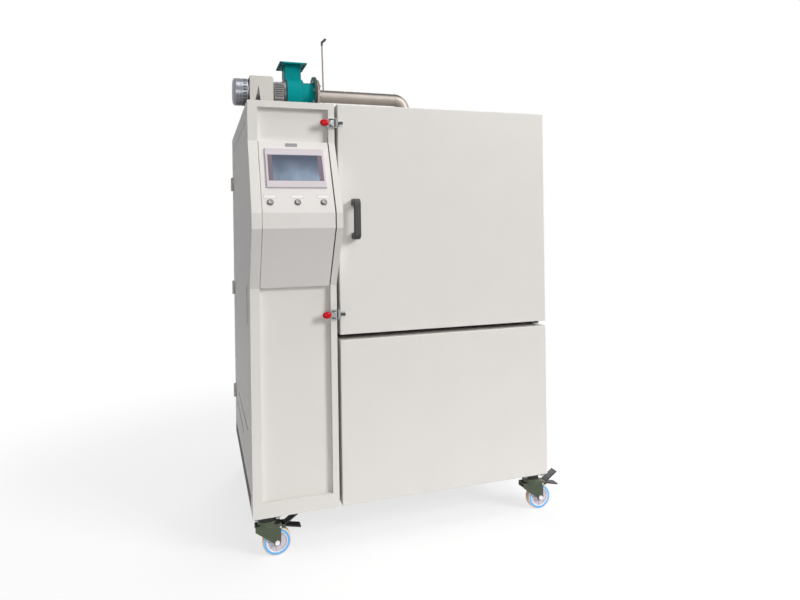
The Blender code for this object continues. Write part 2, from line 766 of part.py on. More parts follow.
def make_base_frame():
    """The base, with each caster's top plate, upper race and kingpin welded under it."""
    body = block((0, SKIN_DEPTH, BODY_BOTTOM), (WIDTH, DEPTH, BASE_TOP))
    welded = []
    plate_low = BODY_BOTTOM - TOP_PLATE_THICK
    plate_top = BODY_BOTTOM + TOP_PLATE_THICK
    for x, y in CASTER_PLACES:
        if y < SKIN_DEPTH + TOP_PLATE_HALF_Y:
            front, rear, step = y - TOP_PLATE_HALF_Y, SKIN_DEPTH + TOP_PLATE_HALF_Y, SKIN_DEPTH + OVERRUN
            side_view = [
                (front, plate_low), (rear, plate_low), (rear, plate_top), (step, plate_top),
                (step, BODY_BOTTOM - SEAT_GAP), (front, BODY_BOTTOM - SEAT_GAP),
            ]
            welded.append(prism(side_view, "X", x - TOP_PLATE_HALF_X, x + TOP_PLATE_HALF_X))
        else:
            welded.append(block(
                (x - TOP_PLATE_HALF_X, y - TOP_PLATE_HALF_Y, plate_low),
                (x + TOP_PLATE_HALF_X, y + TOP_PLATE_HALF_Y, plate_top),
            ))
        kingpin_foot = FORK_TOP - FORK_SHEET - SEAT_GAP
        welded.append(turned(
            [
                (plate_low + SHEET, 0), (plate_low + SHEET, RACE_RADIUS),
                (RACE_PARTING + SEAT_GAP, RACE_RADIUS - SHEET), (RACE_PARTING + SEAT_GAP, KINGPIN_RADIUS),
                (kingpin_foot, KINGPIN_RADIUS), (kingpin_foot, KINGPIN_HEAD_RADIUS),
                (kingpin_foot - KINGPIN_HEAD_THICK, KINGPIN_HEAD_RADIUS),
                (kingpin_foot - KINGPIN_HEAD_THICK, 0),
            ],
            (x, y, 0), "Z", CASTER_SIDES,
        ))
    solid("base_frame", "dark_steel", body, joined=welded)


def make_carcass():
    """The flat sheets and slabs behind the front skin."""
    wall = COLUMN_WIDTH - SHEET
    solid(
        "partition_wall", "cabinet_paint",
        block((wall, FRONT_BACK + SEAT_GAP, BASE_TOP + SEAT_GAP), (COLUMN_WIDTH, REAR_FACE, LINING_TOP)),
    )
    solid(
        "right_side_panel", "cabinet_paint",
        block((WIDTH - SHEET, SKIN_DEPTH, BASE_TOP + SEAT_GAP), (WIDTH, REAR_FACE, SKIRT_BOTTOM - SEAT_GAP)),
    )
    solid(
        "chamber_deck", "dark_steel",
        block((LINING_LEFT, LINING_FRONT, DECK_TOP - DECK_THICK), (LINING_RIGHT, REAR_FACE, DECK_TOP)),
    )
    cap = block((0, SKIN_DEPTH, SKIRT_BOTTOM), (WIDTH, DEPTH, ROOF))
    cavity = block(
        (SHEET, SKIN_DEPTH + FRONT_PLATE, SKIRT_BOTTOM - OVERRUN),
        (WIDTH - SHEET, DEPTH - SHEET, ROOF - SHEET),
    )
    solid("roof_panel", "cabinet_paint", cap, cut=[cavity])


def make_front_plate():
    """The plate behind the furnace door, with the chamber's mouth cut through it."""
    body = block(
        (COLUMN_WIDTH + SEAT_GAP, SKIN_DEPTH, BASE_TOP + SEAT_GAP),
        (WIDTH - SHEET - SEAT_GAP, FRONT_BACK, SKIRT_BOTTOM - SEAT_GAP),
    )
    mouth = block(
        (CHAMBER_LEFT, SKIN_DEPTH - OVERRUN, CHAMBER_FLOOR),
        (CHAMBER_RIGHT, FRONT_BACK + OVERRUN, CHAMBER_ROOF),
    )
    solid("front_plate", "dark_steel", body, cut=[mouth])


def make_lower_front_cover():
    body, hollow = tray((DOOR_LEFT, 0, BODY_BOTTOM), (WIDTH, SKIN_DEPTH - SEAT_GAP, COVER_TOP))
    solid("lower_front_cover", "cabinet_paint", body, cut=[hollow])


def make_chamber():
    """Five slabs of lining around the chamber, with what stands and hangs in it."""
    solid(
        "lining_floor", "fibre_lining",
        block((LINING_LEFT, LINING_FRONT, DECK_TOP + SEAT_GAP), (LINING_RIGHT, REAR_FACE, CHAMBER_FLOOR)),
    )
    solid(
        "lining_roof", "fibre_lining",
        block((LINING_LEFT, LINING_FRONT, CHAMBER_ROOF), (LINING_RIGHT, REAR_FACE - SEAT_GAP, LINING_TOP)),
    )
    low, high = CHAMBER_FLOOR + SEAT_GAP, CHAMBER_ROOF - SEAT_GAP
    solid(
        "lining_left", "fibre_lining",
        block((LINING_LEFT, LINING_FRONT, low), (CHAMBER_LEFT, REAR_FACE, high)),
    )
    solid(
        "lining_right", "fibre_lining",
        block((CHAMBER_RIGHT, LINING_FRONT, low), (LINING_RIGHT, REAR_FACE, high)),
    )
    solid(
        "lining_rear", "fibre_lining",
        block((CHAMBER_LEFT + SEAT_GAP, CHAMBER_BACK, low), (CHAMBER_RIGHT - SEAT_GAP, REAR_FACE, high)),
    )
    hearth_front = SKIN_DEPTH + PLUG_DEPTH + HEARTH_MARGIN
    solid(
        "hearth_plate", "hearth_ceramic",
        block(
            (CHAMBER_LEFT + HEARTH_MARGIN, hearth_front, low),
            (CHAMBER_RIGHT - HEARTH_MARGIN, CHAMBER_BACK - HEARTH_MARGIN, low + HEARTH_THICK),
        ),
    )
    probe_z = CHAMBER_ROOF - THERMOCOUPLE_DROP
    probe = turned(
        [
            (CHAMBER_BACK - SEAT_GAP, 0), (CHAMBER_BACK - SEAT_GAP, THERMOCOUPLE_COLLAR),
            (CHAMBER_BACK - THERMOCOUPLE_COLLAR_LENGTH, THERMOCOUPLE_COLLAR),
            (CHAMBER_BACK - THERMOCOUPLE_COLLAR_LENGTH, THERMOCOUPLE_RADIUS),
            (CHAMBER_BACK - THERMOCOUPLE_LENGTH, THERMOCOUPLE_RADIUS),
            (CHAMBER_BACK - THERMOCOUPLE_LENGTH - THERMOCOUPLE_RADIUS / 2, THERMOCOUPLE_RADIUS / 2),
            (CHAMBER_BACK - THERMOCOUPLE_LENGTH - THERMOCOUPLE_RADIUS / 2, 0),
        ],
        ((CHAMBER_LEFT + CHAMBER_RIGHT) / 2, 0, probe_z), "Y", VENT_SIDES,
    )
    solid("thermocouple", "hearth_ceramic", probe)


def element_route(x):
    """Level runs along a side wall, joined by half-round bends at alternate ends."""
    bend = ELEMENT_SPACING / 2
    front = LINING_FRONT + PLUG_DEPTH + ELEMENT_END_SPACE
    back = CHAMBER_BACK - ELEMENT_END_SPACE
    foot = (CHAMBER_FLOOR + CHAMBER_ROOF - ELEMENT_SPACING * (ELEMENT_RUNS - 1)) / 2
    route = [Vector((x, back, foot))]
    for run in range(ELEMENT_RUNS):
        height = foot + ELEMENT_SPACING * run
        end, side = (front, -1) if run % 2 == 0 else (back, 1)
        if run == ELEMENT_RUNS - 1:
            route.append(Vector((x, end, height)))
            break
        for step in range(ELEMENT_BEND_STEPS + 1):
            angle = math.pi * step / ELEMENT_BEND_STEPS - math.pi / 2
            route.append(Vector((
                x, end + side * bend * math.cos(angle), height + bend + bend * math.sin(angle),
            )))
    return route


def bent_rod(name, slot, route, radius, resolution):
    """A round rod along a route, with filled ends."""
    curve = bpy.data.curves.new(name, "CURVE")
    curve.dimensions = "3D"
    curve.bevel_depth = radius
    curve.bevel_resolution = resolution
    curve.use_fill_caps = True
    spline = curve.splines.new("POLY")
    spline.points.add(len(route) - 1)
    for point, place in zip(spline.points, route):
        point.co = (*place, 1)
    guide = bpy.data.objects.new(name + "_route", curve)
    bpy.context.scene.collection.objects.link(guide)
    shape = bmesh.new()
    shape.from_mesh(settled(guide))
    bpy.data.objects.remove(guide)
    bmesh.ops.remove_doubles(shape, verts=shape.verts, dist=SEAT_GAP / 100)
    bmesh.ops.recalc_face_normals(shape, faces=shape.faces)
    return shape


def make_heating_elements():
    reach = ELEMENT_ROD + SEAT_GAP
    for side, x in (("left", CHAMBER_LEFT + reach), ("right", CHAMBER_RIGHT - reach)):
        name = f"heating_element_{side}"
        shape = bent_rod(name, "element_metal", element_route(x), ELEMENT_ROD, ELEMENT_SIDES_RESOLUTION)
        solid(name, "element_metal", shape)


def make_furnace_door():
    """The door shell hangs on two pins by bushes in its lower and upper walls."""
    axis = axis_empty("door_axis", (HINGE_X, HINGE_FROM_FRONT, DOOR_BOTTOM))
    body, hollow = tray((DOOR_LEFT, 0, DOOR_BOTTOM), (WIDTH, DOOR_THICK, ROOF))
    bore = HINGE_PIN_RADIUS + HINGE_CLEARANCE
    lower_pin_top = DOOR_BOTTOM + HINGE_PIN_LENGTH
    arm_top = ROOF - UPPER_ARM_DROP
    upper_pin_top = arm_top + HINGE_PIN_LENGTH
    centre = (HINGE_X, HINGE_FROM_FRONT, 0)
    bushes = [
        disc(
            centre, "Z", DOOR_BOTTOM + SHEET / 2, lower_pin_top + HINGE_PLATE, HINGE_BUSH_RADIUS, HINGE_SIDES
        ),
        disc(centre, "Z", arm_top + HINGE_PLATE, ROOF - SHEET / 2, HINGE_BUSH_RADIUS, HINGE_SIDES),
    ]
    slot = block(
        (HINGE_X, UPPER_SLOT_FRONT, arm_top - HINGE_PLATE - UPPER_SLOT_CLEARANCE),
        (WIDTH + OVERRUN, DOOR_THICK + OVERRUN, arm_top + UPPER_SLOT_CLEARANCE),
    )
    bores = [
        disc(centre, "Z", DOOR_BOTTOM - OVERRUN, lower_pin_top + HINGE_CLEARANCE, bore, HINGE_SIDES),
        disc(centre, "Z", arm_top, upper_pin_top + HINGE_CLEARANCE, bore, HINGE_SIDES),
    ]
    solid(
        "door_shell", "cabinet_paint", body, hollow=[hollow], joined=bushes, cut=[slot] + bores, carrier=axis
    )

    inner = SHEET + SEAT_GAP
    fill = block(
        (DOOR_LEFT + inner, inner, DOOR_BOTTOM + inner),
        (WIDTH - HINGE_CHANNEL, DOOR_THICK - DOOR_FILL_BACK, ROOF - inner),
    )
    plug = block(
        (
            CHAMBER_LEFT + PLUG_CLEARANCE, DOOR_THICK - DOOR_FILL_BACK - OVERRUN,
            CHAMBER_FLOOR + PLUG_CLEARANCE,
        ),
        (CHAMBER_RIGHT - PLUG_CLEARANCE, SKIN_DEPTH + PLUG_DEPTH, CHAMBER_ROOF - PLUG_CLEARANCE),
    )
    tip = [vert for vert in plug.verts if vert.co.y > DOOR_THICK]
    width = CHAMBER_WIDTH - 2 * PLUG_CLEARANCE
    height = CHAMBER_ROOF - CHAMBER_FLOOR - 2 * PLUG_CLEARANCE
    middle = Vector(((CHAMBER_LEFT + CHAMBER_RIGHT) / 2, 0, (CHAMBER_FLOOR + CHAMBER_ROOF) / 2))
    bmesh.ops.scale(
        plug, vec=(1 - 2 * PLUG_DRAFT / width, 1, 1 - 2 * PLUG_DRAFT / height), verts=tip,
        space=Matrix.Translation(-middle),
    )
    solid("door_insulation", "fibre_lining", fill, joined=[plug], carrier=axis)

    seat = DOOR_THICK - DOOR_FILL_BACK + SEAT_GAP
    outer = GASKET_INSET + GASKET_BREADTH
    rope = block(
        (CHAMBER_LEFT - outer, seat, CHAMBER_FLOOR - outer),
        (CHAMBER_RIGHT + outer, SKIN_DEPTH - SEAT_GAP, CHAMBER_ROOF + outer),
    )
    opening = block(
        (CHAMBER_LEFT - GASKET_INSET, seat - OVERRUN, CHAMBER_FLOOR - GASKET_INSET),
        (CHAMBER_RIGHT + GASKET_INSET, SKIN_DEPTH + OVERRUN, CHAMBER_ROOF + GASKET_INSET),
    )
    solid("door_gasket", "gasket_rope", rope, cut=[opening], carrier=axis)
    make_door_handle(axis)
    for place, height in LATCH_HEIGHTS.items():
        make_keeper(place, height, axis)


def make_hinge_brackets():
    """A plate under the door and an arm that reaches into its slot, each with a pin that points up."""
    centre = (HINGE_X, HINGE_FROM_FRONT, 0)
    arm_left, arm_right = HINGE_X - HINGE_ARM_HALF, HINGE_X + HINGE_ARM_HALF
    seat = SKIN_DEPTH - SEAT_GAP
    plate_top = DOOR_BOTTOM - LOWER_PLATE_DROP
    plate = block((arm_left, HINGE_FROM_FRONT, plate_top - HINGE_PLATE), (arm_right, seat, plate_top))
    end = disc(centre, "Z", plate_top - HINGE_PLATE, plate_top, HINGE_ARM_HALF, HINGE_SIDES)
    foot_right = min(HINGE_X + HINGE_FOOT_WIDTH / 2, WIDTH - 2 * SHEET)
    foot = block(
        (foot_right - HINGE_FOOT_WIDTH, seat - HINGE_FOOT_THICK, COVER_TOP + SEAT_GAP),
        (foot_right, seat, plate_top),
    )
    root = plate_top - HINGE_PLATE / 2
    collar = disc(centre, "Z", root, DOOR_BOTTOM - SEAT_GAP, HINGE_COLLAR_RADIUS, HINGE_SIDES)
    pin = disc(centre, "Z", root, DOOR_BOTTOM + HINGE_PIN_LENGTH, HINGE_PIN_RADIUS, HINGE_SIDES)
    solid("hinge_bracket_lower", "dark_steel", plate, joined=[end, foot, collar, pin])

    arm_top = ROOF - UPPER_ARM_DROP
    arm = block((arm_left, HINGE_FROM_FRONT, arm_top - HINGE_PLATE), (arm_right, seat, arm_top))
    end = disc(centre, "Z", arm_top - HINGE_PLATE, arm_top, HINGE_ARM_HALF, HINGE_SIDES)
    root = arm_top - HINGE_PLATE / 2
    pin = disc(centre, "Z", root, arm_top + HINGE_PIN_LENGTH, HINGE_PIN_RADIUS, HINGE_SIDES)
    solid("hinge_bracket_upper", "dark_steel", arm, joined=[end, pin])


def make_door_handle(axis):
    """A bridge handle: a bar on two feet, with round shoulders."""
    face = -SEAT_GAP
    outer = rounded(
        [
            (face, HANDLE_BOTTOM), (-HANDLE_REACH, HANDLE_BOTTOM),
            (-HANDLE_REACH, HANDLE_TOP), (face, HANDLE_TOP),
        ],
        [0, HANDLE_CORNER, HANDLE_CORNER, 0], HANDLE_CORNER_STEPS,
    )
    left, right = HANDLE_X - HANDLE_WIDTH / 2, HANDLE_X + HANDLE_WIDTH / 2
    body = prism(outer, "X", left, right)
    gap_front = HANDLE_BAR - HANDLE_REACH
    gap = rounded(
        [
            (face + OVERRUN, HANDLE_BOTTOM + HANDLE_FOOT), (gap_front, HANDLE_BOTTOM + HANDLE_FOOT),
            (gap_front, HANDLE_TOP - HANDLE_FOOT), (face + OVERRUN, HANDLE_TOP - HANDLE_FOOT),
        ],
        [0, HANDLE_INNER_CORNER, HANDLE_INNER_CORNER, 0], HANDLE_CORNER_STEPS,
    )
    soft_edged(body, EDGE_RADIUS, keep=lambda edge: beside(edge, left, right) and not flat_on(edge, face))
    grip_gap = prism(gap, "X", left - OVERRUN, right + OVERRUN)
    solid("door_handle", "black_plastic", body, cut=[grip_gap], carrier=axis)


def beside(edge, left, right):
    """True for an edge that lies in a prism's left or right end face."""
    return any(all(abs(vert.co.x - side) < SEAT_GAP for vert in edge.verts) for side in (left, right))


def flat_on(edge, face):
    return all(abs(vert.co.y - face) < SEAT_GAP for vert in edge.verts)


def make_keeper(place, height, axis):
    """The latch's catch on the door's face, close to its left edge."""
    left = STRAP_END + KEEPER_GAP
    plate = block(
        (left, -KEEPER_PLATE - SEAT_GAP, height - KEEPER_HALF),
        (KEEPER_RIGHT, -SEAT_GAP, height + KEEPER_HALF),
    )
    post = block(
        (left, -KEEPER_PROUD, height - KEEPER_POST_HALF),
        (left + KEEPER_POST, -KEEPER_PLATE, height + KEEPER_POST_HALF),
    )
    nose = block(
        (left, -KEEPER_PROUD, height - KEEPER_POST_HALF),
        (KEEPER_RIGHT - KEEPER_PLATE, KEEPER_PLATE - KEEPER_PROUD, height + KEEPER_POST_HALF),
    )
    solid(f"keeper_{place}", "bright_steel", plate, joined=[post, nose], carrier=axis)


def make_latch(place, height):
    """A toggle latch: base with two lugs, lever with an oval grip, and a link whose claw meets the keeper."""
    pivot = Vector((LATCH_PIVOT_X, -LATCH_PIVOT_OUT, height))
    link_pivot = pivot + Vector((-LATCH_LINK_LEFT, LATCH_LINK_BACK, 0))
    lever_axis = axis_empty(f"latch_lever_{place}_axis", pivot)
    link_axis = axis_empty(f"latch_link_{place}_axis", link_pivot, lever_axis)

    plate = block(
        (LATCH_PLATE_LEFT, -LATCH_PLATE_THICK - SEAT_GAP, height - LATCH_PLATE_HALF),
        (LATCH_PLATE_RIGHT, -SEAT_GAP, height + LATCH_PLATE_HALF),
    )
    welded = []
    lug = rounded(
        [
            (pivot.x - LUG_RADIUS, -SEAT_GAP - LATCH_PLATE_THICK / 2),
            (pivot.x - LUG_RADIUS, pivot.y - LUG_RADIUS),
            (pivot.x + LUG_RADIUS, pivot.y - LUG_RADIUS),
            (pivot.x + LUG_RADIUS, -SEAT_GAP - LATCH_PLATE_THICK / 2),
        ],
        [0, LUG_RADIUS / 2, LUG_RADIUS / 2, 0], 2,
    )
    for side in (-1, 1):
        inner, outer = sorted((height + side * LUG_INNER, height + side * (LUG_INNER + LUG_THICK)))
        welded.append(prism(lug, "Z", inner, outer))
    pin_half = LUG_INNER + LUG_THICK / 2
    welded.append(rod(pivot - AXES["Z"] * pin_half, pivot + AXES["Z"] * pin_half, LATCH_PIN, LATCH_SIDES))
    solid(f"latch_base_{place}", "bright_steel", plate, joined=welded)

    half = AXES["Z"] * LEVER_HALF
    hub = rod(pivot - half, pivot + half, LEVER_HUB, LATCH_SIDES)
    eye = rod(link_pivot - half, link_pivot + half, LEVER_EYE, LATCH_SIDES)
    cheek = prism(
        [
            (link_pivot.x, link_pivot.y - LEVER_EYE * CHEEK_FRONT_SHARE),
            (pivot.x, pivot.y - LEVER_HUB * CHEEK_FRONT_SHARE),
            (pivot.x, pivot.y + LEVER_HUB * CHEEK_BACK_SHARE),
            (link_pivot.x, link_pivot.y + LEVER_EYE * CHEEK_BACK_SHARE),
        ],
        "Z", height - LEVER_HALF, height + LEVER_HALF,
    )
    bar = block(
        (GRIP_CENTRE_X, -GRIP_OUT - LEVER_BAR_THICK / 2, height - LEVER_BAR_HALF),
        (pivot.x - LEVER_HUB / 2, -GRIP_OUT + LEVER_BAR_THICK / 2, height + LEVER_BAR_HALF),
    )
    grip = bmesh.new()
    bmesh.ops.create_uvsphere(grip, u_segments=GRIP_SIDES, v_segments=GRIP_RINGS, radius=1)
    bmesh.ops.scale(grip, vec=(GRIP_HALF_LENGTH, GRIP_HALF_THICK, GRIP_HALF_HEIGHT), verts=grip.verts)
    moved(grip, (GRIP_CENTRE_X, -GRIP_OUT, height))
    far = half * 2
    bores = [
        rod(pivot - far, pivot + far, LATCH_PIN + LATCH_CLEARANCE, LATCH_SIDES),
        rod(link_pivot - far, link_pivot + far, LINK_PIN + LATCH_CLEARANCE, LATCH_SIDES),
    ]
    solid(
        f"latch_lever_{place}", "red_plastic", grip,
        joined=[bar, cheek, hub, eye], cut=bores, carrier=lever_axis,
    )

    outer = STRAP_INNER + STRAP_THICK
    claw = prism(
        [
            (STRAP_END - CLAW_LENGTH, height - outer), (STRAP_END, height - CLAW_HALF),
            (STRAP_END, height + CLAW_HALF), (STRAP_END - CLAW_LENGTH, height + outer),
        ],
        "Y", link_pivot.y - STRAP_HALF, link_pivot.y + STRAP_HALF,
    )
    pin_half = AXES["Z"] * (STRAP_INNER + STRAP_THICK / 2)
    shapes = [rod(link_pivot - pin_half, link_pivot + pin_half, LINK_PIN, LATCH_SIDES)]
    for side in (-1, 1):
        inner, far_side = sorted((height + side * STRAP_INNER, height + side * outer))
        shapes.append(block(
            (link_pivot.x - STRAP_HALF, link_pivot.y - STRAP_HALF, inner),
            (STRAP_END - CLAW_LENGTH / 2, link_pivot.y + STRAP_HALF, far_side),
        ))
    solid(f"latch_link_{place}", "bright_steel", claw, joined=shapes, carrier=link_axis)


def scroll_outline(inset, top):
    """The blower's spiral, seen along its axis, from the rear wall of the outlet round to its front wall."""
    rear = FAN_Y + SCROLL_END_RADIUS - inset
    front = FAN_Y + SCROLL_END_RADIUS - OUTLET_BREADTH + inset
    outline = [(rear, top)]
    for step in range(SCROLL_STEPS + 1):
        share = step / SCROLL_STEPS
        angle = SCROLL_SWEEP * share
        radius = SCROLL_END_RADIUS + (SCROLL_START_RADIUS - SCROLL_END_RADIUS) * share - inset
        outline.append((FAN_Y + radius * math.cos(angle), FAN_Z - radius * math.sin(angle)))
    outline.append((front, top))
    return outline


def make_fan_housing():
    right = SCROLL_LEFT + SCROLL_WIDTH
    top = FAN_Z + OUTLET_ABOVE_AXIS
    centre_x = SCROLL_LEFT + SCROLL_WIDTH / 2
    centre_y = FAN_Y + SCROLL_END_RADIUS - OUTLET_BREADTH / 2
    body = prism(scroll_outline(0, top - OUTLET_FLANGE_THICK / 2), "X", SCROLL_LEFT, right)
    flange = block(
        (centre_x - OUTLET_FLANGE_X / 2, centre_y - OUTLET_FLANGE_Y / 2, top - OUTLET_FLANGE_THICK),
        (centre_x + OUTLET_FLANGE_X / 2, centre_y + OUTLET_FLANGE_Y / 2, top),
    )
    cavity = scroll_outline(SCROLL_SHEET, top + OVERRUN)
    hollow = prism(cavity, "X", SCROLL_LEFT + SCROLL_SHEET, right - SCROLL_SHEET)
    axis_point = (0, FAN_Y, FAN_Z)
    inlet = disc(axis_point, "X", right - OVERRUN, right + OVERRUN, INLET_HOLE_RADIUS)
    shaft_hole = disc(axis_point, "X", SCROLL_LEFT - OVERRUN, SCROLL_LEFT + OVERRUN, SHAFT_HOLE_RADIUS)
    solid("fan_housing", "blower_paint", body, joined=[flange], cut=[hollow, inlet, shaft_hole])


def make_fan_inlet():
    start = SCROLL_LEFT + SCROLL_WIDTH + SEAT_GAP
    end = NECK_END + INLET_FLANGE_THICK
    profile = [
        (start, INLET_HOLE_RADIUS), (NECK_END, INLET_HOLE_RADIUS), (NECK_END, INLET_BORE), (end, INLET_BORE),
        (end, INLET_FLANGE_RADIUS), (NECK_END, INLET_FLANGE_RADIUS), (NECK_END, NECK_RADIUS),
        (start + NECK_COVER_THICK, NECK_RADIUS), (start + NECK_COVER_THICK, NECK_COVER_RADIUS),
        (start, NECK_COVER_RADIUS),
    ]
    solid("fan_inlet", "blower_paint", turned(profile, (0, FAN_Y, FAN_Z), "X", ring=True))


def blade_outline(number):
    """A backward-curved blade, seen along the fan's axis."""
    turn = math.tau * number / BLADE_COUNT
    inner, outer = IMPELLER_EYE, IMPELLER_RADIUS - BLADE_THICK / 2
    fore, aft = [], []
    for step in range(BLADE_STEPS + 1):
        share = step / BLADE_STEPS
        radius = inner + (outer - inner) * share
        angle = turn + BLADE_SWEEP * share
        thick = BLADE_THICK / 2 / radius
        fore.append((FAN_Y + radius * math.cos(angle + thick), FAN_Z + radius * math.sin(angle + thick)))
        aft.append((FAN_Y + radius * math.cos(angle - thick), FAN_Z + radius * math.sin(angle - thick)))
    return fore + aft[::-1]


def make_fan_rotor():
    """The impeller between its two plates, with the shaft that runs back into the motor."""
    axis = axis_empty("fan_axis", (SCROLL_LEFT, FAN_Y, FAN_Z))
    centre = (0, FAN_Y, FAN_Z)
    left = SCROLL_LEFT + SCROLL_SHEET + IMPELLER_CLEARANCE
    right = left + IMPELLER_WIDTH
    wheel = turned(
        [
            (left, 0), (left, IMPELLER_RADIUS), (left + IMPELLER_PLATE, IMPELLER_RADIUS),
            (left + IMPELLER_PLATE, IMPELLER_HUB), (left + IMPELLER_HUB_LENGTH, IMPELLER_NOSE),
            (left + IMPELLER_HUB_LENGTH, 0),
        ],
        centre, "X",
    )
    blades = [
        prism(blade_outline(number), "X", left + IMPELLER_PLATE / 2, right - IMPELLER_PLATE / 2)
        for number in range(BLADE_COUNT)
    ]
    shroud = turned(
        [
            (right - IMPELLER_PLATE, IMPELLER_EYE + IMPELLER_PLATE), (right, IMPELLER_EYE + IMPELLER_PLATE),
            (right, IMPELLER_RADIUS), (right - IMPELLER_PLATE, IMPELLER_RADIUS),
        ],
        centre, "X", ring=True,
    )
    shaft = disc(centre, "X", SCROLL_LEFT - SHAFT_IN_MOTOR, left + IMPELLER_PLATE, SHAFT_RADIUS, LATCH_SIDES)
    solid("fan_rotor", "bright_steel", wheel, joined=[shaft, shroud] + blades, carrier=axis)


def make_motor():
    centre = (0, FAN_Y, FAN_Z)
    end = SCROLL_LEFT - SEAT_GAP
    start = COWL_END + SEAT_GAP
    slope = MOTOR_RADIUS - MOTOR_NECK_RADIUS
    body = turned(
        [
            (start, 0), (start, MOTOR_RADIUS), (MOTOR_BODY_END - slope, MOTOR_RADIUS),
            (MOTOR_BODY_END, MOTOR_NECK_RADIUS), (MOTOR_FLANGE_START, MOTOR_NECK_RADIUS),
            (MOTOR_FLANGE_START, MOTOR_FLANGE_RADIUS), (end, MOTOR_FLANGE_RADIUS), (end, 0),
        ],
        centre, "X",
    )
    box_front = FAN_Y - MOTOR_NECK_RADIUS - TERMINAL_BOX_RISE / 2
    box_middle = FAN_Z - TERMINAL_BOX_RISE
    box = block(
        (TERMINAL_BOX_START, box_front, box_middle - TERMINAL_BOX_HALF),
        (TERMINAL_BOX_END, FAN_Y, box_middle + TERMINAL_BOX_HALF),
    )
    bore = disc(
        centre, "X", SCROLL_LEFT - SHAFT_IN_MOTOR - SEAT_GAP, SCROLL_LEFT + OVERRUN,
        SHAFT_RADIUS + AXLE_CLEARANCE, LATCH_SIDES,
    )
    solid("motor_body", "motor_metal", body, joined=[box], cut=[bore])
    cowl = turned(
        [
            (COWL_TAIL, 0), (COWL_TAIL, MOTOR_RADIUS - COWL_ROUND),
            (COWL_TAIL + COWL_ROUND * COWL_ROUND_SHARE, MOTOR_RADIUS - COWL_ROUND * COWL_ROUND_SHARE),
            (COWL_TAIL + COWL_ROUND, MOTOR_RADIUS), (COWL_END, MOTOR_RADIUS), (COWL_END, 0),
        ],
        centre, "X", COWL_SIDES,
    )
    solid("motor_cowl", "motor_metal", cowl)


def make_motor_stand():
    """A folded portal over the motor, with a three-cornered window in each leg."""
    inner = MOTOR_RADIUS + SEAT_GAP
    foot = ROOF + SEAT_GAP
    front, rear = FAN_Y - inner, FAN_Y + inner
    under = FAN_Z + inner
    top = under + STAND_SHEET
    outline = [
        (front - STAND_FOOT, foot), (front, foot), (front, under), (rear, under), (rear, foot),
        (rear + STAND_FOOT, foot), (rear + STAND_FOOT, foot + STAND_SHEET),
        (rear + STAND_SHEET, foot + STAND_SHEET),
        (rear + STAND_SHEET, top), (front - STAND_SHEET, top), (front - STAND_SHEET, foot + STAND_SHEET),
        (front - STAND_FOOT, foot + STAND_SHEET),
    ]
    body = prism(outline, "X", STAND_LEFT, STAND_RIGHT)
    width, height = STAND_RIGHT - STAND_LEFT, top - foot
    window = [(STAND_LEFT + width * across, foot + height * up) for across, up in STAND_WINDOW_SHARES]
    front_end, rear_end = front - STAND_FOOT - OVERRUN, rear + STAND_FOOT + OVERRUN
    corner = rounded(
        [(STAND_LEFT, foot), (STAND_RIGHT, foot), (STAND_RIGHT, top), (STAND_LEFT, top)],
        [0, 0, STAND_CORNER, 0], HANDLE_CORNER_STEPS,
    )[2:-1]
    off_cut = corner + [(STAND_RIGHT - STAND_CORNER, top + OVERRUN), (STAND_RIGHT + OVERRUN, top + OVERRUN),
                        (STAND_RIGHT + OVERRUN, top - STAND_CORNER)]
    cuts = [prism(window, "Y", front_end, rear_end), prism(off_cut, "Y", front_end, rear_end)]
    solid("motor_stand", "cabinet_paint", body, cut=cuts)


def make_exhaust_pipe():
    """The pipe leaves the inlet flange, bends down and stands on a collar on the roof."""
    start = NECK_END + INLET_FLANGE_THICK + SEAT_GAP
    route = [Vector((start + SEAT_GAP, FAN_Y, FAN_Z))]
    for step in range(PIPE_BEND_STEPS + 1):
        angle = math.pi / 2 * step / PIPE_BEND_STEPS
        route.append(Vector((
            PIPE_X - PIPE_BEND + PIPE_BEND * math.sin(angle), FAN_Y,
            FAN_Z - PIPE_BEND + PIPE_BEND * math.cos(angle),
        )))
    foot = ROOF + SEAT_GAP
    route.append(Vector((PIPE_X, FAN_Y, foot + SEAT_GAP)))
    pipe = bent_rod("exhaust_pipe", "stainless_pipe", route, PIPE_RADIUS, PIPE_SIDES_RESOLUTION)
    flange = disc((0, FAN_Y, FAN_Z), "X", start, start + PIPE_FLANGE_THICK, PIPE_FLANGE_RADIUS)
    collar = disc((PIPE_X, FAN_Y, 0), "Z", foot, foot + PIPE_COLLAR_THICK, PIPE_COLLAR_RADIUS, CASTER_SIDES)
    solid("exhaust_pipe", "stainless_pipe", pipe, joined=[flange, collar])


def make_vent():
    foot = Vector((VENT_X, VENT_Y, ROOF + SEAT_GAP))
    head = foot + Vector((VENT_LEAN, 0, VENT_HEIGHT))
    tube = rod(foot + AXES["Z"] * VENT_COLLAR_THICK / 2, head, VENT_RADIUS, VENT_SIDES)
    collar = disc(foot, "Z", 0, VENT_COLLAR_THICK, VENT_COLLAR_RADIUS, VENT_SIDES)
    lean = Vector((math.sin(VENT_CAP_TILT), 0, math.cos(VENT_CAP_TILT)))
    ball = bmesh.new()
    bmesh.ops.create_uvsphere(
        ball, u_segments=VENT_SIDES, v_segments=VENT_CAP_RINGS, radius=VENT_CAP_RADIUS
    )
    moved(ball, head)
    stem = rod(head, head + lean * VENT_CAP_LENGTH, VENT_STEM_RADIUS, VENT_SIDES)
    solid("vent_tube", "bright_steel", tube, joined=[collar, ball, stem])


SERVICE_AXIS = Vector((-SERVICE_AXIS_OUT, SERVICE_REAR + SERVICE_GAP / 2, SERVICE_BOTTOM))
KNUCKLE_HEIGHTS = [SERVICE_BOTTOM + (SERVICE_TOP - SERVICE_BOTTOM) * share for share in KNUCKLE_SHARES]


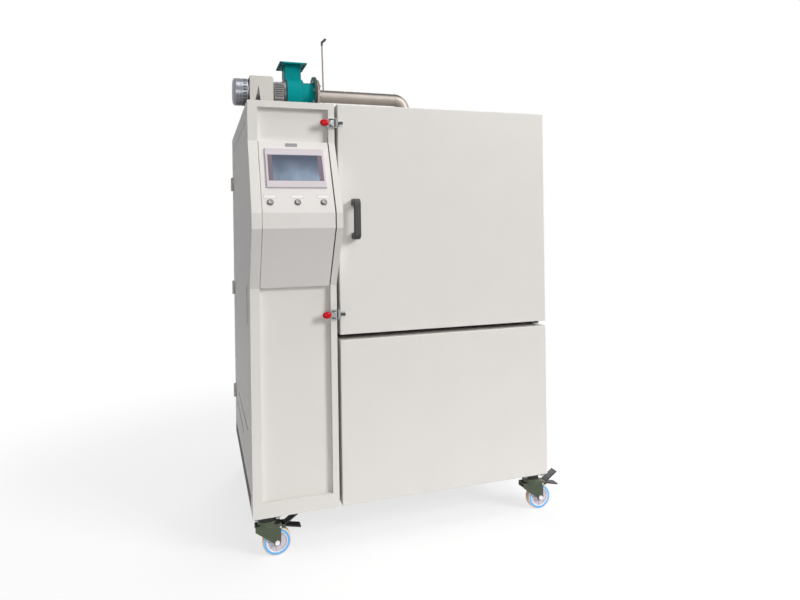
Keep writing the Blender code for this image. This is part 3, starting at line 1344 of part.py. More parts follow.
def make_service_door():
    """The tray-shaped door of the switchgear, with lift-off hinges at its rear edge."""
    axis = axis_empty("service_door_axis", SERVICE_AXIS)
    body = block((0, SERVICE_FRONT, SERVICE_BOTTOM), (SERVICE_THICK, SERVICE_REAR, SERVICE_TOP))
    hollow = block(
        (SHEET, SERVICE_FRONT + SHEET, SERVICE_BOTTOM + SHEET),
        (SERVICE_THICK + OVERRUN, SERVICE_REAR - SHEET, SERVICE_TOP - SHEET),
    )
    welded, bores = [], []
    pin_line = (SERVICE_AXIS.x, SERVICE_AXIS.y, 0)
    bore = KNUCKLE_PIN + KNUCKLE_CLEARANCE
    for z in KNUCKLE_HEIGHTS:
        top = z + KNUCKLE_LENGTH
        welded.append(disc(pin_line, "Z", z, top, KNUCKLE_RADIUS, KNUCKLE_SIDES))
        welded.append(block((-KNUCKLE_WEB, SERVICE_REAR - FLAP_REACH, z), (SHEET / 2, SERVICE_AXIS.y, top)))
        bores.append(disc(pin_line, "Z", z - OVERRUN, top + OVERRUN, bore, KNUCKLE_SIDES))
    for z, y_start, y_end in RIB_PLACES:
        welded.append(disc((SHEET / 4, 0, z), "Y", y_start, y_end, RIB_RADIUS, RIB_SIDES))
    right = FLUSH_LEFT + FLUSH_WIDTH
    welded.append(block(
        (-FLUSH_PROUD, FLUSH_LEFT - FLUSH_RIM, FLUSH_BOTTOM - FLUSH_RIM),
        (FLUSH_POCKET + SHEET, right + FLUSH_RIM, FLUSH_TOP + FLUSH_RIM),
    ))
    pocket = block(
        (-FLUSH_PROUD - OVERRUN, FLUSH_LEFT, FLUSH_BOTTOM), (FLUSH_POCKET, right, FLUSH_TOP)
    )
    solid(
        "service_door", "cabinet_paint", body,
        hollow=[hollow], joined=welded, cut=bores + [pocket], carrier=axis,
    )

    half = FLUSH_LEVER_THICK / 2
    pivot = Vector((half - FLUSH_PROUD, FLUSH_LEFT + FLUSH_WIDTH / 2, FLUSH_TOP - FLUSH_CLEARANCE - half * 2))
    lever_axis = axis_empty("flush_handle_axis", pivot, axis)
    outline = rounded(
        [
            (pivot.x - half, FLUSH_BOTTOM + FLUSH_CLEARANCE),
            (pivot.x + half, FLUSH_BOTTOM + FLUSH_CLEARANCE),
            (pivot.x + half, pivot.z + half), (pivot.x - half, pivot.z + half),
        ],
        [half / 2, half / 2, FLUSH_ROUND, FLUSH_ROUND], HANDLE_CORNER_STEPS,
    )
    lever = prism(outline, "Y", FLUSH_LEFT + FLUSH_CLEARANCE, right - FLUSH_CLEARANCE)
    pin = rod(
        (pivot.x, FLUSH_LEFT + SEAT_GAP, pivot.z), (pivot.x, right - SEAT_GAP, pivot.z),
        FLUSH_PIN, FLUSH_SIDES,
    )
    solid("flush_handle", "black_plastic", lever, joined=[pin], carrier=lever_axis)


def louvre_outline(inset, z):
    """The side view of one louvre's hood: open below, closed above."""
    return [
        (DEPTH - SHEET - inset * OVERRUN / SHEET, z + LOUVRE_HEIGHT - inset),
        (DEPTH + SHEET / 2 - inset, z + LOUVRE_HEIGHT - inset), (DEPTH + LOUVRE_RISE - inset, z - inset),
        (DEPTH - SHEET - inset * OVERRUN / SHEET, z - inset),
    ]


def make_rear_panel():
    """The rear sheet with its left return, the fixed hinge halves and a bank of louvres."""
    low, high = BASE_TOP + SEAT_GAP, SKIRT_BOTTOM - SEAT_GAP
    start = DEPTH - REAR_RETURN
    outline = [
        (0, start), (SHEET, start), (SHEET, DEPTH - SHEET), (WIDTH, DEPTH - SHEET), (WIDTH, DEPTH), (0, DEPTH)
    ]
    body = prism(outline, "Z", low, high)
    welded, cuts = [], []
    for z in KNUCKLE_HEIGHTS:
        top = z - SEAT_GAP
        welded.append(turned(
            [
                (top - KNUCKLE_LENGTH, 0), (top - KNUCKLE_LENGTH, KNUCKLE_RADIUS), (top, KNUCKLE_RADIUS),
                (top, KNUCKLE_PIN), (z + KNUCKLE_LENGTH - SEAT_GAP, KNUCKLE_PIN),
                (z + KNUCKLE_LENGTH - SEAT_GAP, 0),
            ],
            (SERVICE_AXIS.x, SERVICE_AXIS.y, 0), "Z", KNUCKLE_SIDES,
        ))
        welded.append(block(
            (-KNUCKLE_WEB, SERVICE_AXIS.y, top - KNUCKLE_LENGTH), (SHEET / 2, start + FLAP_REACH, top)
        ))
    for number in range(LOUVRE_COUNT):
        z = LOUVRE_BOTTOM + LOUVRE_PITCH * number
        ends = LOUVRE_INSET, LOUVRE_INSET + LOUVRE_LENGTH
        welded.append(prism(louvre_outline(0, z), "X", *ends))
        cuts.append(prism(louvre_outline(SHEET, z), "X", ends[0] + SHEET, ends[1] - SHEET))
    solid("rear_panel", "cabinet_paint", body, joined=welded, cut=cuts)


def make_control_gear():
    """The mounting plate on the partition, with rows of gear fixed to it."""
    seat = COLUMN_WIDTH - SHEET - SEAT_GAP
    face = seat - GEAR_PLATE
    plate = block((face, GEAR_FRONT, GEAR_BOTTOM), (seat, DEPTH - GEAR_BACK, GEAR_TOP))
    height = GEAR_TOP - GEAR_BOTTOM
    rows = []
    for start, tall, deep in GEAR_ROW_SHARES:
        low = GEAR_BOTTOM + height * start
        rows.append(block(
            (face - GEAR_DEEP * deep, GEAR_FRONT + GEAR_MARGIN, low),
            (face + GEAR_PLATE / 2, DEPTH - GEAR_BACK - GEAR_MARGIN, low + height * tall),
        ))
    solid("control_gear", "gear_plastic", plate, joined=rows)


RACE_PARTING = FORK_TOP + RACE_LOWER
CASTER_PLACES = [
    (x, y) for y in (CASTER_INSET_Y, DEPTH - CASTER_INSET_Y) for x in (CASTER_INSET_X, WIDTH - CASTER_INSET_X)
]
CASTER_NAMES = ["front_left", "front_right", "rear_left", "rear_right"]


def make_fork(name, x, y, axis, braked):
    """The pressed fork: a bridge under the lower race, two tapering legs and the axle bolt."""
    axle = Vector((x + CASTER_TRAIL, y, WHEEL_RADIUS))
    outer = FORK_INNER_HALF + FORK_SHEET
    shoulder = FORK_TOP - FORK_SHOULDER_DROP
    leg = [(x + FORK_RIGHT, FORK_TOP), (x - FORK_LEFT, FORK_TOP), (x - FORK_LEFT, shoulder)]
    for step in range(HANDLE_CORNER_STEPS + 1):
        angle = math.pi + math.pi * step / HANDLE_CORNER_STEPS
        leg.append((axle.x + FORK_EYE * math.cos(angle), axle.z + FORK_EYE * math.sin(angle)))
    leg.append((x + FORK_RIGHT, shoulder))
    cuts = [disc((x, y, 0), "Z", FORK_TOP - FORK_SHEET - OVERRUN, RACE_PARTING + OVERRUN,
                 KINGPIN_RADIUS + KINGPIN_CLEARANCE, CASTER_SIDES)]
    if braked:
        ear = x + PEDAL_OUT + PEDAL_HUB
        leg += [
            (x + FORK_RIGHT, PEDAL_Z - PEDAL_HUB), (ear, PEDAL_Z - PEDAL_HUB), (ear, PEDAL_Z + PEDAL_HUB),
            (x + FORK_RIGHT, PEDAL_Z + PEDAL_HUB),
        ]
        cuts.append(disc((x + PEDAL_OUT, y, PEDAL_Z), "Y", -outer - OVERRUN, outer + OVERRUN,
                         PEDAL_PIN + AXLE_CLEARANCE, LATCH_SIDES))
    body = prism(leg, "Y", y - outer, y + outer)
    channel = block(
        (x - FORK_LEFT - OVERRUN, y - FORK_INNER_HALF, -OVERRUN),
        (x + PEDAL_OUT + FORK_RIGHT, y + FORK_INNER_HALF, FORK_TOP - FORK_SHEET),
    )
    welded = []
    welded.append(disc((x, y, 0), "Z", FORK_TOP - FORK_SHEET / 2, RACE_PARTING, RACE_RADIUS, CASTER_SIDES))
    bolt_end = outer - FORK_SHEET / 3
    welded.append(disc(axle, "Y", -bolt_end, bolt_end, AXLE_RADIUS, LATCH_SIDES))
    for side in (-1, 1):
        near, far = sorted((side * (outer - FORK_SHEET / 2), side * (outer + AXLE_NUT_THICK)))
        welded.append(disc(axle, "Y", near, far, AXLE_NUT_RADIUS, NUT_SIDES))
    solid(f"caster_fork_{name}", "fork_paint", body, hollow=[channel], joined=welded, cut=cuts, carrier=axis)


def make_wheel(name, x, y, carrier):
    axle = Vector((x + CASTER_TRAIL, y, WHEEL_RADIUS))
    axis = axis_empty(f"caster_wheel_{name}_axis", axle, carrier)
    to_corner = 1 / math.cos(math.pi / WHEEL_SIDES)
    half, hub_end = WHEEL_WIDTH / 2, FORK_INNER_HALF - SEAT_GAP
    tread = WHEEL_RADIUS * to_corner
    side_view = [
        (hub_end, AXLE_RADIUS + AXLE_CLEARANCE), (hub_end, WHEEL_BOSS_RADIUS),
        (half - WHEEL_DISH, WHEEL_HUB_RADIUS), (half - WHEEL_DISH, WHEEL_RIM_RADIUS - WHEEL_DISH),
        (half, WHEEL_RIM_RADIUS), (half, tread - WHEEL_SHOULDER), (half - WHEEL_SHOULDER, tread),
    ]
    profile = side_view + [(-place, radius) for place, radius in reversed(side_view)]
    shape = turned(profile, axle, "Y", WHEEL_SIDES, ring=True, phase=math.pi / WHEEL_SIDES)
    solid(f"caster_wheel_{name}", "wheel_plastic", shape, carrier=axis)


def make_brake_pedal(name, x, y, carrier):
    """A two-armed rocker between the fork's ears."""
    pivot = Vector((x + PEDAL_OUT, y, PEDAL_Z))
    axis = axis_empty(f"brake_pedal_{name}_axis", pivot, carrier)
    hub = disc(pivot, "Y", -PEDAL_HALF, PEDAL_HALF, PEDAL_HUB, LATCH_SIDES)
    root = Vector((pivot.x, pivot.z))
    tips = [Vector((x + PEDAL_UPPER_OUT, PEDAL_UPPER_Z)), Vector((x + PEDAL_LOWER_OUT, PEDAL_LOWER_Z))]
    upper, lower = [(tip - root).normalized() for tip in tips]
    above, below = [Vector((-way.y, way.x)) * PEDAL_THICK / 2 for way in (upper, lower)]
    crotch = root + (upper + lower).normalized() * PEDAL_THICK / 2 / math.sin(upper.angle(lower) / 2)
    side_view = [
        root + above, tips[0] + above, tips[0] - above, crotch, tips[1] + below, tips[1] - below, root - below
    ]
    inset = PEDAL_HALF - AXLE_CLEARANCE
    arms = prism([tuple(corner) for corner in side_view], "Y", y - inset, y + inset)
    reach = FORK_INNER_HALF + FORK_SHEET
    pin = disc(pivot, "Y", -reach, reach, PEDAL_PIN, LATCH_SIDES)
    solid(f"brake_pedal_{name}", "black_plastic", hub, joined=[arms, pin], carrier=axis)


def make_casters():
    for name, (x, y) in zip(CASTER_NAMES, CASTER_PLACES):
        swivel = axis_empty(f"caster_fork_{name}_axis", (x, y, FORK_TOP))
        braked = name.startswith("front")
        make_fork(name, x, y, swivel, braked)
        make_wheel(name, x, y, swivel)
        if braked:
            make_brake_pedal(name, x, y, swivel)


def stand_on_origin():
    """Moves the whole furnace so that the middle of its footprint box on the floor is the origin."""
    bpy.context.view_layer.update()
    low, high = Vector((math.inf,) * 3), Vector((-math.inf,) * 3)
    for thing in bpy.data.objects:
        if thing.type == "MESH":
            for vert in thing.data.vertices:
                place = thing.matrix_world @ vert.co
                low = Vector(map(min, low, place))
                high = Vector(map(max, high, place))
    middle = Vector(((low.x + high.x) / 2, (low.y + high.y) / 2, low.z))
    for thing in bpy.data.objects:
        if thing.parent is None:
            thing.location -= middle


clear_scene()
make_base_frame()
make_column_front_frame()
make_column_panel()
make_console_panel()
make_touch_screen()
make_buttons()
make_carcass()
make_front_plate()
make_lower_front_cover()
make_rear_panel()
make_control_gear()
make_service_door()
make_chamber()
make_heating_elements()
make_furnace_door()
make_hinge_brackets()
for latch_place, latch_height in LATCH_HEIGHTS.items():
    make_latch(latch_place, latch_height)
make_fan_housing()
make_fan_inlet()
make_fan_rotor()
make_motor()
make_motor_stand()
make_exhaust_pipe()
make_vent()
make_casters()
stand_on_origin()
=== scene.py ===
# %% [markdown]
# # A box furnace on casters
# The furnace stands in a plain white studio. Its solids come from the CAD frame, which says
# where everything sits and what moves with what. This script gives each of them its edges,
# its finish and its small fittings. The frame is loaded first, because most later steps start
# from its meshes and its boxes. Lengths are in metres, so MM turns a workshop's sizes into them.

# %% Load the frame
import json
import math
import bmesh
import bpy
from mathutils import Matrix, Vector


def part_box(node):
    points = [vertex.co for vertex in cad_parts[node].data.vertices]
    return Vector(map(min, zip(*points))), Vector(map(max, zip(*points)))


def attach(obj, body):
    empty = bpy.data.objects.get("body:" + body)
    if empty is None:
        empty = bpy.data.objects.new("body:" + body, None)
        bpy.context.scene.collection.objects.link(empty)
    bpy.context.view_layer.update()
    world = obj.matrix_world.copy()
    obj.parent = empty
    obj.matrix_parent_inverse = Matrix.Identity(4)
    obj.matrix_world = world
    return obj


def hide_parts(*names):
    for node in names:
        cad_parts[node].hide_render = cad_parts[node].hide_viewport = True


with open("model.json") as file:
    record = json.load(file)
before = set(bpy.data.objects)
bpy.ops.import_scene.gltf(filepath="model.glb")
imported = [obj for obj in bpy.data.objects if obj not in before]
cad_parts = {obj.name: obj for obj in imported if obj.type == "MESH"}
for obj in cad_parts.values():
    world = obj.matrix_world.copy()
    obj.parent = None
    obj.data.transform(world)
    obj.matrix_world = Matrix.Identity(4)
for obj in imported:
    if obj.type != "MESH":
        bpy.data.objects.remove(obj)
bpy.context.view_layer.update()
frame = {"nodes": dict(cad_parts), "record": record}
BODIES = frame["record"]["behaviour"]["bodies"]
BODY_OF = {node: name for name, nodes in BODIES.items() for node in nodes}
MM = 0.001

# %% [markdown]
# The camera stands where a photographer of 1.3 m eye height stood, left of the furnace, with
# the lens turned 18 degrees to the right. The lens is shifted instead of tilted, so that
# upright edges stay upright. Its axes are written out as a matrix, because the camera also
# leans by less than a degree.

# %% Camera
TURN, LEAN = math.radians(18.19), math.radians(-0.82)
EYE = (-0.8424, -2.8709, 1.2756)
right = Vector((math.cos(TURN) * math.cos(LEAN), -math.sin(TURN) * math.cos(LEAN),
                math.sin(LEAN)))
ahead = Vector((math.sin(TURN), math.cos(TURN), 0.0))
above = right.cross(ahead).normalized()
lens = bpy.data.cameras.new("camera")
lens.lens, lens.sensor_width, lens.shift_y = 27.44, 36.0, -0.0907
camera = bpy.data.objects.new("camera", lens)
axes = Matrix((right, above, -ahead)).transposed().to_4x4()
camera.matrix_world = Matrix.Translation(EYE) @ axes
bpy.context.scene.collection.objects.link(camera)
bpy.context.scene.camera = camera
print("camera at", [round(value, 3) for value in camera.location])

# %% [markdown]
# A large soft lamp high at the right, in front of the furnace, gives the even light of a
# catalogue picture. A low one behind the camera fills the slopes that face down, one above
# lights the roof and one behind the rear, and the world fills the rest. World and floor are
# white only to rays that see them straight on, in a gloss or through glass, so the backdrop is
# white without throwing more light on the paint.

# %% Shader nodes in one line, and the lamps
def put(tree, kind, inputs=(), **settings):
    """Adds a shader node. An input is either a value or another node's output."""
    node = tree.nodes.new("ShaderNode" + kind)
    for name, value in settings.items():
        setattr(node, name, value)
    for name, value in dict(inputs).items():
        if isinstance(value, bpy.types.NodeSocket):
            tree.links.new(value, node.inputs[name])
        else:
            node.inputs[name].default_value = value
    return node


def lamp(name, place, aim, size, watts):
    """A square soft lamp at place that points at aim."""
    light = bpy.data.lights.new(name, "AREA")
    light.shape, light.size, light.energy = "SQUARE", size, watts
    stand = bpy.data.objects.new(name, light)
    stand.location = place
    stand.rotation_euler = (Vector(aim) - Vector(place)).to_track_quat("-Z", "Y").to_euler()
    bpy.context.scene.collection.objects.link(stand)


lamp("key", (6.8, -8.2, 6.0), (0.0, -0.4, 1.0), 4.0, 905)
lamp("fill", (-1.2, -6.5, 0.8), (-0.2, -0.4, 1.0), 2.4, 92)
lamp("top", (0.3, -1.6, 5.2), (-0.1, -0.2, 1.2), 2.4, 62)
lamp("back", (1.6, 7.6, 3.6), (0.0, 0.6, 1.0), 3.0, 310)
bpy.context.scene.view_settings.view_transform = "Standard"
print("lamps", len(bpy.data.lights))

# %% [markdown]
# The floor is a flat grid that fades from paint to plain light with the distance from the
# furnace, so its far edge melts into the white world. A plain white floor would show that edge
# as a line, and a glowing one alone would take no shadow.

# %% World and floor
WORLD_FILL, FLOOR_SIZE = 0.175, 12.0
FLOOR_TONE, FLOOR_SEEN, FLOOR_GLOW, FLOOR_FADE = 0.9, 0.3, 0.74, (1.5, 2.8)


def seen_directly(tree):
    """Is 1 for rays from the camera, in a gloss or through glass, and 0 for those that light."""
    path = put(tree, "LightPath").outputs
    both = put(tree, "Math", {0: path["Is Camera Ray"], 1: path["Is Glossy Ray"]},
               operation="ADD").outputs[0]
    return put(tree, "Math", {0: both, 1: path["Is Transmission Ray"]},
               operation="ADD", use_clamp=True).outputs[0]


world = bpy.data.worlds.new("studio")
bpy.context.scene.world = world
world.use_nodes = True
sky = world.node_tree
level = put(sky, "MapRange", {"Value": seen_directly(sky), "To Min": WORLD_FILL})
sky.links.new(level.outputs[0], sky.nodes["Background"].inputs["Strength"])
sky.nodes["Background"].inputs["Color"].default_value = (1.0, 1.0, 1.0, 1.0)

floor_form = bmesh.new()
bmesh.ops.create_grid(floor_form, x_segments=2, y_segments=2, size=FLOOR_SIZE)
floor_mesh = bpy.data.meshes.new("floor")
floor_form.to_mesh(floor_mesh)
floor_form.free()
floor = bpy.data.objects.new("floor", floor_mesh)
bpy.context.scene.collection.objects.link(floor)
pale = bpy.data.materials.new("studio_floor")
pale.use_nodes = True
ground = pale.node_tree
ground.nodes.clear()
place = put(ground, "TexCoord").outputs["Object"]
away = put(ground, "VectorMath", {0: place}, operation="LENGTH").outputs["Value"]
fade = put(ground, "MapRange", {"Value": away, "From Min": FLOOR_FADE[0],
                                "From Max": FLOOR_FADE[1]},
           interpolation_type="SMOOTHSTEP").outputs[0]
glow = put(ground, "MapRange", {"Value": fade, "To Min": FLOOR_GLOW, "To Max": 1.0}).outputs[0]
glow = put(ground, "Math", {0: glow, 1: seen_directly(ground)}, operation="MULTIPLY").outputs[0]
tone_now = put(ground, "MapRange", {"Value": seen_directly(ground), "To Min": FLOOR_TONE,
                                    "To Max": FLOOR_SEEN}).outputs[0]
matt = put(ground, "MapRange", {"Value": fade, "To Min": tone_now, "To Max": 0.0}).outputs[0]
both = put(ground, "AddShader", {0: put(ground, "BsdfDiffuse", {"Color": matt}).outputs[0],
                                 1: put(ground, "Emission", {"Strength": glow}).outputs[0]})
put(ground, "OutputMaterial", {"Surface": both.outputs[0]})
floor.data.materials.append(pale)
print("floor", floor.dimensions.x, "m wide")

# %% [markdown]
# A finish is never one flat colour. Powder coat has a fine orange peel and slightly uneven
# gloss, brushed steel has long scratches, and moulded plastic has a spark-eroded grain. One
# function makes them all: a slow noise moves the colour between two near tones, a second one
# moves the roughness, and a fine one is the relief. The noises read Object coordinates, so
# they stay with the piece when it moves. Each finish is kept in a table under its name.

# %% The general finish
FINISH = {}


def tone(red, green, blue):
    """Turns a colour from 0 to 255, as a picture shows it, into a shader's linear values."""
    return tuple((value / 255.0) ** 2.2 for value in (red, green, blue)) + (1.0,)


def noise(tree, place, scale, detail=3.0, stretch=(1.0, 1.0, 1.0)):
    """A noise that may be drawn out along an axis, for brushed metal."""
    mapped = put(tree, "Mapping", {"Vector": place, "Scale": stretch})
    return put(tree, "TexNoise", {"Vector": mapped.outputs[0], "Scale": scale,
                                  "Detail": detail}).outputs["Fac"]


# A painted highlight: this mask lightens the colour on corners, where a rounded edge catches light.
def edge_highlight_mask(tree, radius):
    """Is 1 on corners and 0 on flat faces: how far a rounded normal leans from the real one."""
    rounded = put(tree, "Bevel", {"Radius": radius}, samples=4)
    flat = put(tree, "NewGeometry")
    lean = put(tree, "VectorMath", {0: rounded.outputs[0], 1: flat.outputs["Normal"]},
               operation="DOT_PRODUCT")
    return put(tree, "MapRange", {"Value": lean.outputs["Value"], "From Min": 0.995,
                                  "From Max": 0.85}).outputs[0]


def finish(name, colour, second, rough=0.45, spread=0.06, patch=6.0, grain=400.0, relief=0.15,
           depth=0.1 * MM, stretch=(1.0, 1.0, 1.0), edge=None, highlight_radius=1.2 * MM, shader=()):
    """Two near tones with uneven gloss and fine relief, and with edge as a painted highlight tone on
    its corners.
    """
    material = FINISH[name] = bpy.data.materials.new(name)
    material.use_nodes = True
    tree = material.node_tree
    surface = tree.nodes["Principled BSDF"]
    for socket, value in dict(shader).items():
        surface.inputs[socket].default_value = value
    place = put(tree, "TexCoord").outputs["Object"]
    colour_out = put(tree, "Mix", {0: noise(tree, place, patch), 6: tone(*colour),
                                   7: tone(*second)}, data_type="RGBA").outputs[2]
    # edge is the colour of a painted highlight on the corners.
    if edge:
        colour_out = put(tree, "Mix", {0: edge_highlight_mask(tree, highlight_radius), 6: colour_out,
                                       7: tone(*edge)}, data_type="RGBA").outputs[2]
    tree.links.new(colour_out, surface.inputs["Base Color"])
    gloss = put(tree, "MapRange", {
        "Value": noise(tree, place, patch * 4, 4.0, stretch), "From Min": 0.3, "From Max": 0.7,
        "To Min": rough - spread, "To Max": rough + spread})
    tree.links.new(gloss.outputs[0], surface.inputs["Roughness"])
    bump = put(tree, "Bump", {"Height": noise(tree, place, grain, 2.0, stretch),
                              "Strength": relief, "Distance": depth})
    tree.links.new(bump.outputs[0], surface.inputs["Normal"])
    return material


print("a finish is ready to be made")

# %% [markdown]
# The painted finishes are a warm light grey powder coat on the cabinet, the same paint on the
# console, teal enamel on the blower and an olive grey on the caster forks. Each paint has a
# slightly lighter tone where the form turns: a painted highlight on its corners.

# %% Paints
finish("cabinet_paint", (222, 219, 215), (217, 214, 209), rough=0.4, grain=700, relief=0.12,
       edge=(241, 239, 236), highlight_radius=2.5 * MM, shader={"Specular IOR Level": 0.12})
finish("console_paint", (223, 219, 216), (219, 215, 211), rough=0.38, grain=700, relief=0.12,
       edge=(241, 238, 236), highlight_radius=2.0 * MM, shader={"Specular IOR Level": 0.14})
finish("blower_paint", (0, 138, 140), (0, 130, 132), rough=0.45, grain=300, relief=0.15,
       edge=(0, 152, 152), shader={"Specular IOR Level": 0.05})
finish("fork_paint", (82, 91, 73), (68, 76, 61), rough=0.32, grain=420, relief=0.18,
       edge=(146, 154, 136), shader={"Metallic": 0.35})
print("paints", len(FINISH))

# %% [markdown]
# Metals reflect instead of showing a colour of their own, so their look comes from roughness.
# Sheet and pipe keep drawing scratches along their length, which a noise drawn out along X
# gives, since the pipe lies that way. The motor's pressed cowl has none.

# %% Metals
finish("bright_steel", (196, 196, 198), (176, 177, 180), rough=0.3, spread=0.08, patch=30,
       grain=900, relief=0.1, stretch=(0.2, 1, 1), shader={"Metallic": 1.0})
finish("stainless_pipe", (168, 160, 153), (148, 140, 133), rough=0.42, spread=0.06, patch=14,
       grain=800, relief=0.1, stretch=(0.15, 1, 1), shader={"Metallic": 0.5})
finish("motor_metal", (138, 140, 145), (116, 118, 124), rough=0.3, spread=0.08, patch=24,
       grain=500, relief=0.2, shader={"Metallic": 0.95})
finish("dark_steel", (44, 41, 38), (34, 31, 29), rough=0.6, grain=500, relief=0.2,
       edge=(84, 80, 76), shader={"Metallic": 0.4})
finish("element_metal", (92, 84, 78), (70, 62, 58), rough=0.6, patch=60, grain=900, relief=0.3,
       shader={"Metallic": 0.6})
print("with metals", len(FINISH))

# %% [markdown]
# Plastics have a low, even gloss. The ceramic boards are matt and fibrous, with a coarse
# relief that catches the light at the chamber's mouth.

# %% Plastics and ceramics
finish("bezel_plastic", (208, 200, 204), (201, 194, 198), rough=0.5, grain=1200, relief=0.15,
       edge=(232, 228, 229), shader={"Specular IOR Level": 0.25})
finish("button_plastic", (176, 172, 170), (160, 157, 156), rough=0.35, grain=900, relief=0.1)
finish("black_plastic", (52, 50, 49), (42, 40, 40), rough=0.42, grain=1100, relief=0.25,
       edge=(78, 76, 75))
finish("red_plastic", (204, 4, 24), (188, 2, 20), rough=0.22, grain=600, relief=0.06,
       shader={"Specular IOR Level": 0.14, "Coat Weight": 0.1, "Coat Roughness": 0.1})
finish("wheel_plastic", (214, 206, 214), (202, 194, 204), rough=0.4, grain=800, relief=0.12)
finish("fibre_lining", (236, 232, 222), (222, 216, 204), rough=0.95, spread=0.04, patch=22,
       grain=240, relief=0.6, depth=0.6 * MM, shader={"Specular IOR Level": 0.1})
finish("hearth_ceramic", (206, 198, 184), (186, 176, 160), rough=0.8, patch=30, grain=320,
       relief=0.5, depth=0.3 * MM, shader={"Specular IOR Level": 0.2})
finish("gasket_rope", (214, 204, 182), (196, 184, 160), rough=0.95, patch=120, grain=420,
       relief=0.8, depth=1.0 * MM, shader={"Specular IOR Level": 0.1})
print("with plastics and ceramics", len(FINISH))

# %% [markdown]
# CAD solids have knife-sharp edges, and nothing made of sheet, casting or moulding does. Each
# solid is copied, its loose triangles are merged and its flat faces are joined. Then every
# sharp edge is rounded: bends of sheet by the radius of the press brake, cut edges by a file's
# stroke. A rounded edge catches a thin line of light, which is how the eye reads a sheet's fold.

# %% Round the edges of a solid
FLAT, CURVED = 16, 8
FOLD_LENGTH, FOLD_FLANGE = 60 * MM, 7 * MM


def shade(form, angle=0.6):
    """Shades a form smooth except its flat faces, and keeps edges that turn by more sharp."""
    for face in form.faces:
        face.smooth = face.material_index != FLAT
        face.material_index %= CURVED
    for line in form.edges:
        line.smooth = line.is_manifold and line.calc_face_angle(3.0) < angle


def piece(name, form, slot, body, replaced=(), look=None):
    """Makes an object of a form, with the finish of its slot or, if given, the one named look."""
    mesh = bpy.data.meshes.new(name)
    form.to_mesh(mesh)
    form.free()
    thing = bpy.data.objects.new(name, mesh)
    bpy.context.scene.collection.objects.link(thing)
    mesh.materials.append(FINISH[look or slot])
    even = thing.modifiers.new("even_shading", "WEIGHTED_NORMAL")
    even.keep_sharp = True
    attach(thing, body)
    if replaced:
        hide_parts(*replaced)
    return thing


def merged(node):
    """A copy of a CAD node's mesh with its triangles merged and its flat faces joined."""
    form = bmesh.new()
    form.from_mesh(frame["nodes"][node].data)
    bmesh.ops.remove_doubles(form, verts=form.verts, dist=0.02 * MM)
    bmesh.ops.dissolve_limit(form, angle_limit=math.radians(0.5), verts=form.verts,
                             edges=form.edges)
    return form


def soften(form, width, segments=2, turn=0.5, wanted=None, mark=-1):
    """Bevels every edge that turns by more than turn and that wanted, if given, agrees to."""
    lines = [line for line in form.edges if line.is_manifold and line.calc_face_angle(0.0) > turn
             and (wanted is None or wanted(line))]
    bmesh.ops.bevel(form, geom=lines, offset=width, offset_type="OFFSET", affect="EDGES",
                    segments=segments, profile=0.5, material=mark, clamp_overlap=True)


def is_fold(line):
    """A sheet's bend is long, turns outwards and has a flange on both of its sides."""
    flange = min(face.calc_area() for face in line.link_faces)
    return (line.is_convex and line.calc_length() > FOLD_LENGTH
            and flange > FOLD_FLANGE * line.calc_length())


def dressed(node, width, fold=0.0, segments=2, turn=0.5, look=None):
    """A CAD node with its edges rounded, and its sheet's bends by the larger radius fold."""
    form = merged(node)
    for face in form.faces:
        alone = all(line.is_manifold and line.calc_face_angle(0.0) > turn for line in face.edges)
        face.material_index = FLAT if alone else CURVED
    if fold:
        soften(form, fold, 3, turn, is_fold, CURVED)
    if width:
        soften(form, width, segments, turn, mark=CURVED)
    shade(form)
    return piece(node + "_dressed", form, SLOT_OF[node], BODY_OF[node], [node], look)


def second_finish(thing, look, chosen):
    """Gives the faces of a piece that chosen agrees to another finish."""
    thing.data.materials.append(FINISH[look])
    for face in thing.data.polygons:
        face.material_index = int(chosen(face.center))


SLOT_OF = {name: node.data.materials[0].name.split(".")[0]
           for name, node in frame["nodes"].items()}
print(sorted(set(SLOT_OF.values())))

# %% [markdown]
# The cabinet is folded from sheet. Each panel is named here with the outer radius of its bends
# in millimetres, and a flat one has none. Bends could be modelled one by one, but they are easy
# to tell from cut edges by their length and their wide flanges, so one rule finds them all.

# %% Sheet and frame pieces
SHEETS = {"door_shell": 1.9, "lower_front_cover": 1.9, "column_front_frame": 1.9,
          "console_panel": 1.4, "roof_panel": 1.8, "right_side_panel": 0.0, "rear_panel": 1.8,
          "service_door": 1.8, "column_panel": 0.0, "motor_stand": 1.8, "base_frame": 1.5,
          "chamber_deck": 1.0, "front_plate": 0.0, "partition_wall": 0.0}
# The motor stand takes a darker copy of the cabinet paint, which is painted shade.
SHEET_LOOK = {"motor_stand": "stand_paint"}
finish("stand_paint", (202, 198, 193), (194, 190, 185), rough=0.45, grain=700, relief=0.12,
       edge=(222, 219, 215), shader={"Specular IOR Level": 0.12})
for node, bend in SHEETS.items():
    made = dressed(node, 0.5 * MM, bend * MM, turn=0.3, look=SHEET_LOOK.get(node))
    print(node, len(made.data.polygons))

# %% [markdown]
# Most fittings are made of two basic forms: a slab with rounded edges, and a profile turned
# round an axis as on a lathe. They are made standing on Z at the origin, where their sizes are
# easy to read, and are then aimed at the place they belong.

# %% Basic forms
def slab(low, high, width=0.4 * MM, segments=2):
    """A block between two corners with rounded edges."""
    form = bmesh.new()
    low, high = Vector(low), Vector(high)
    bmesh.ops.create_cube(form, size=1.0)
    bmesh.ops.scale(form, vec=high - low, verts=form.verts)
    bmesh.ops.translate(form, vec=(low + high) / 2, verts=form.verts)
    if width:
        soften(form, width, segments)
    return form


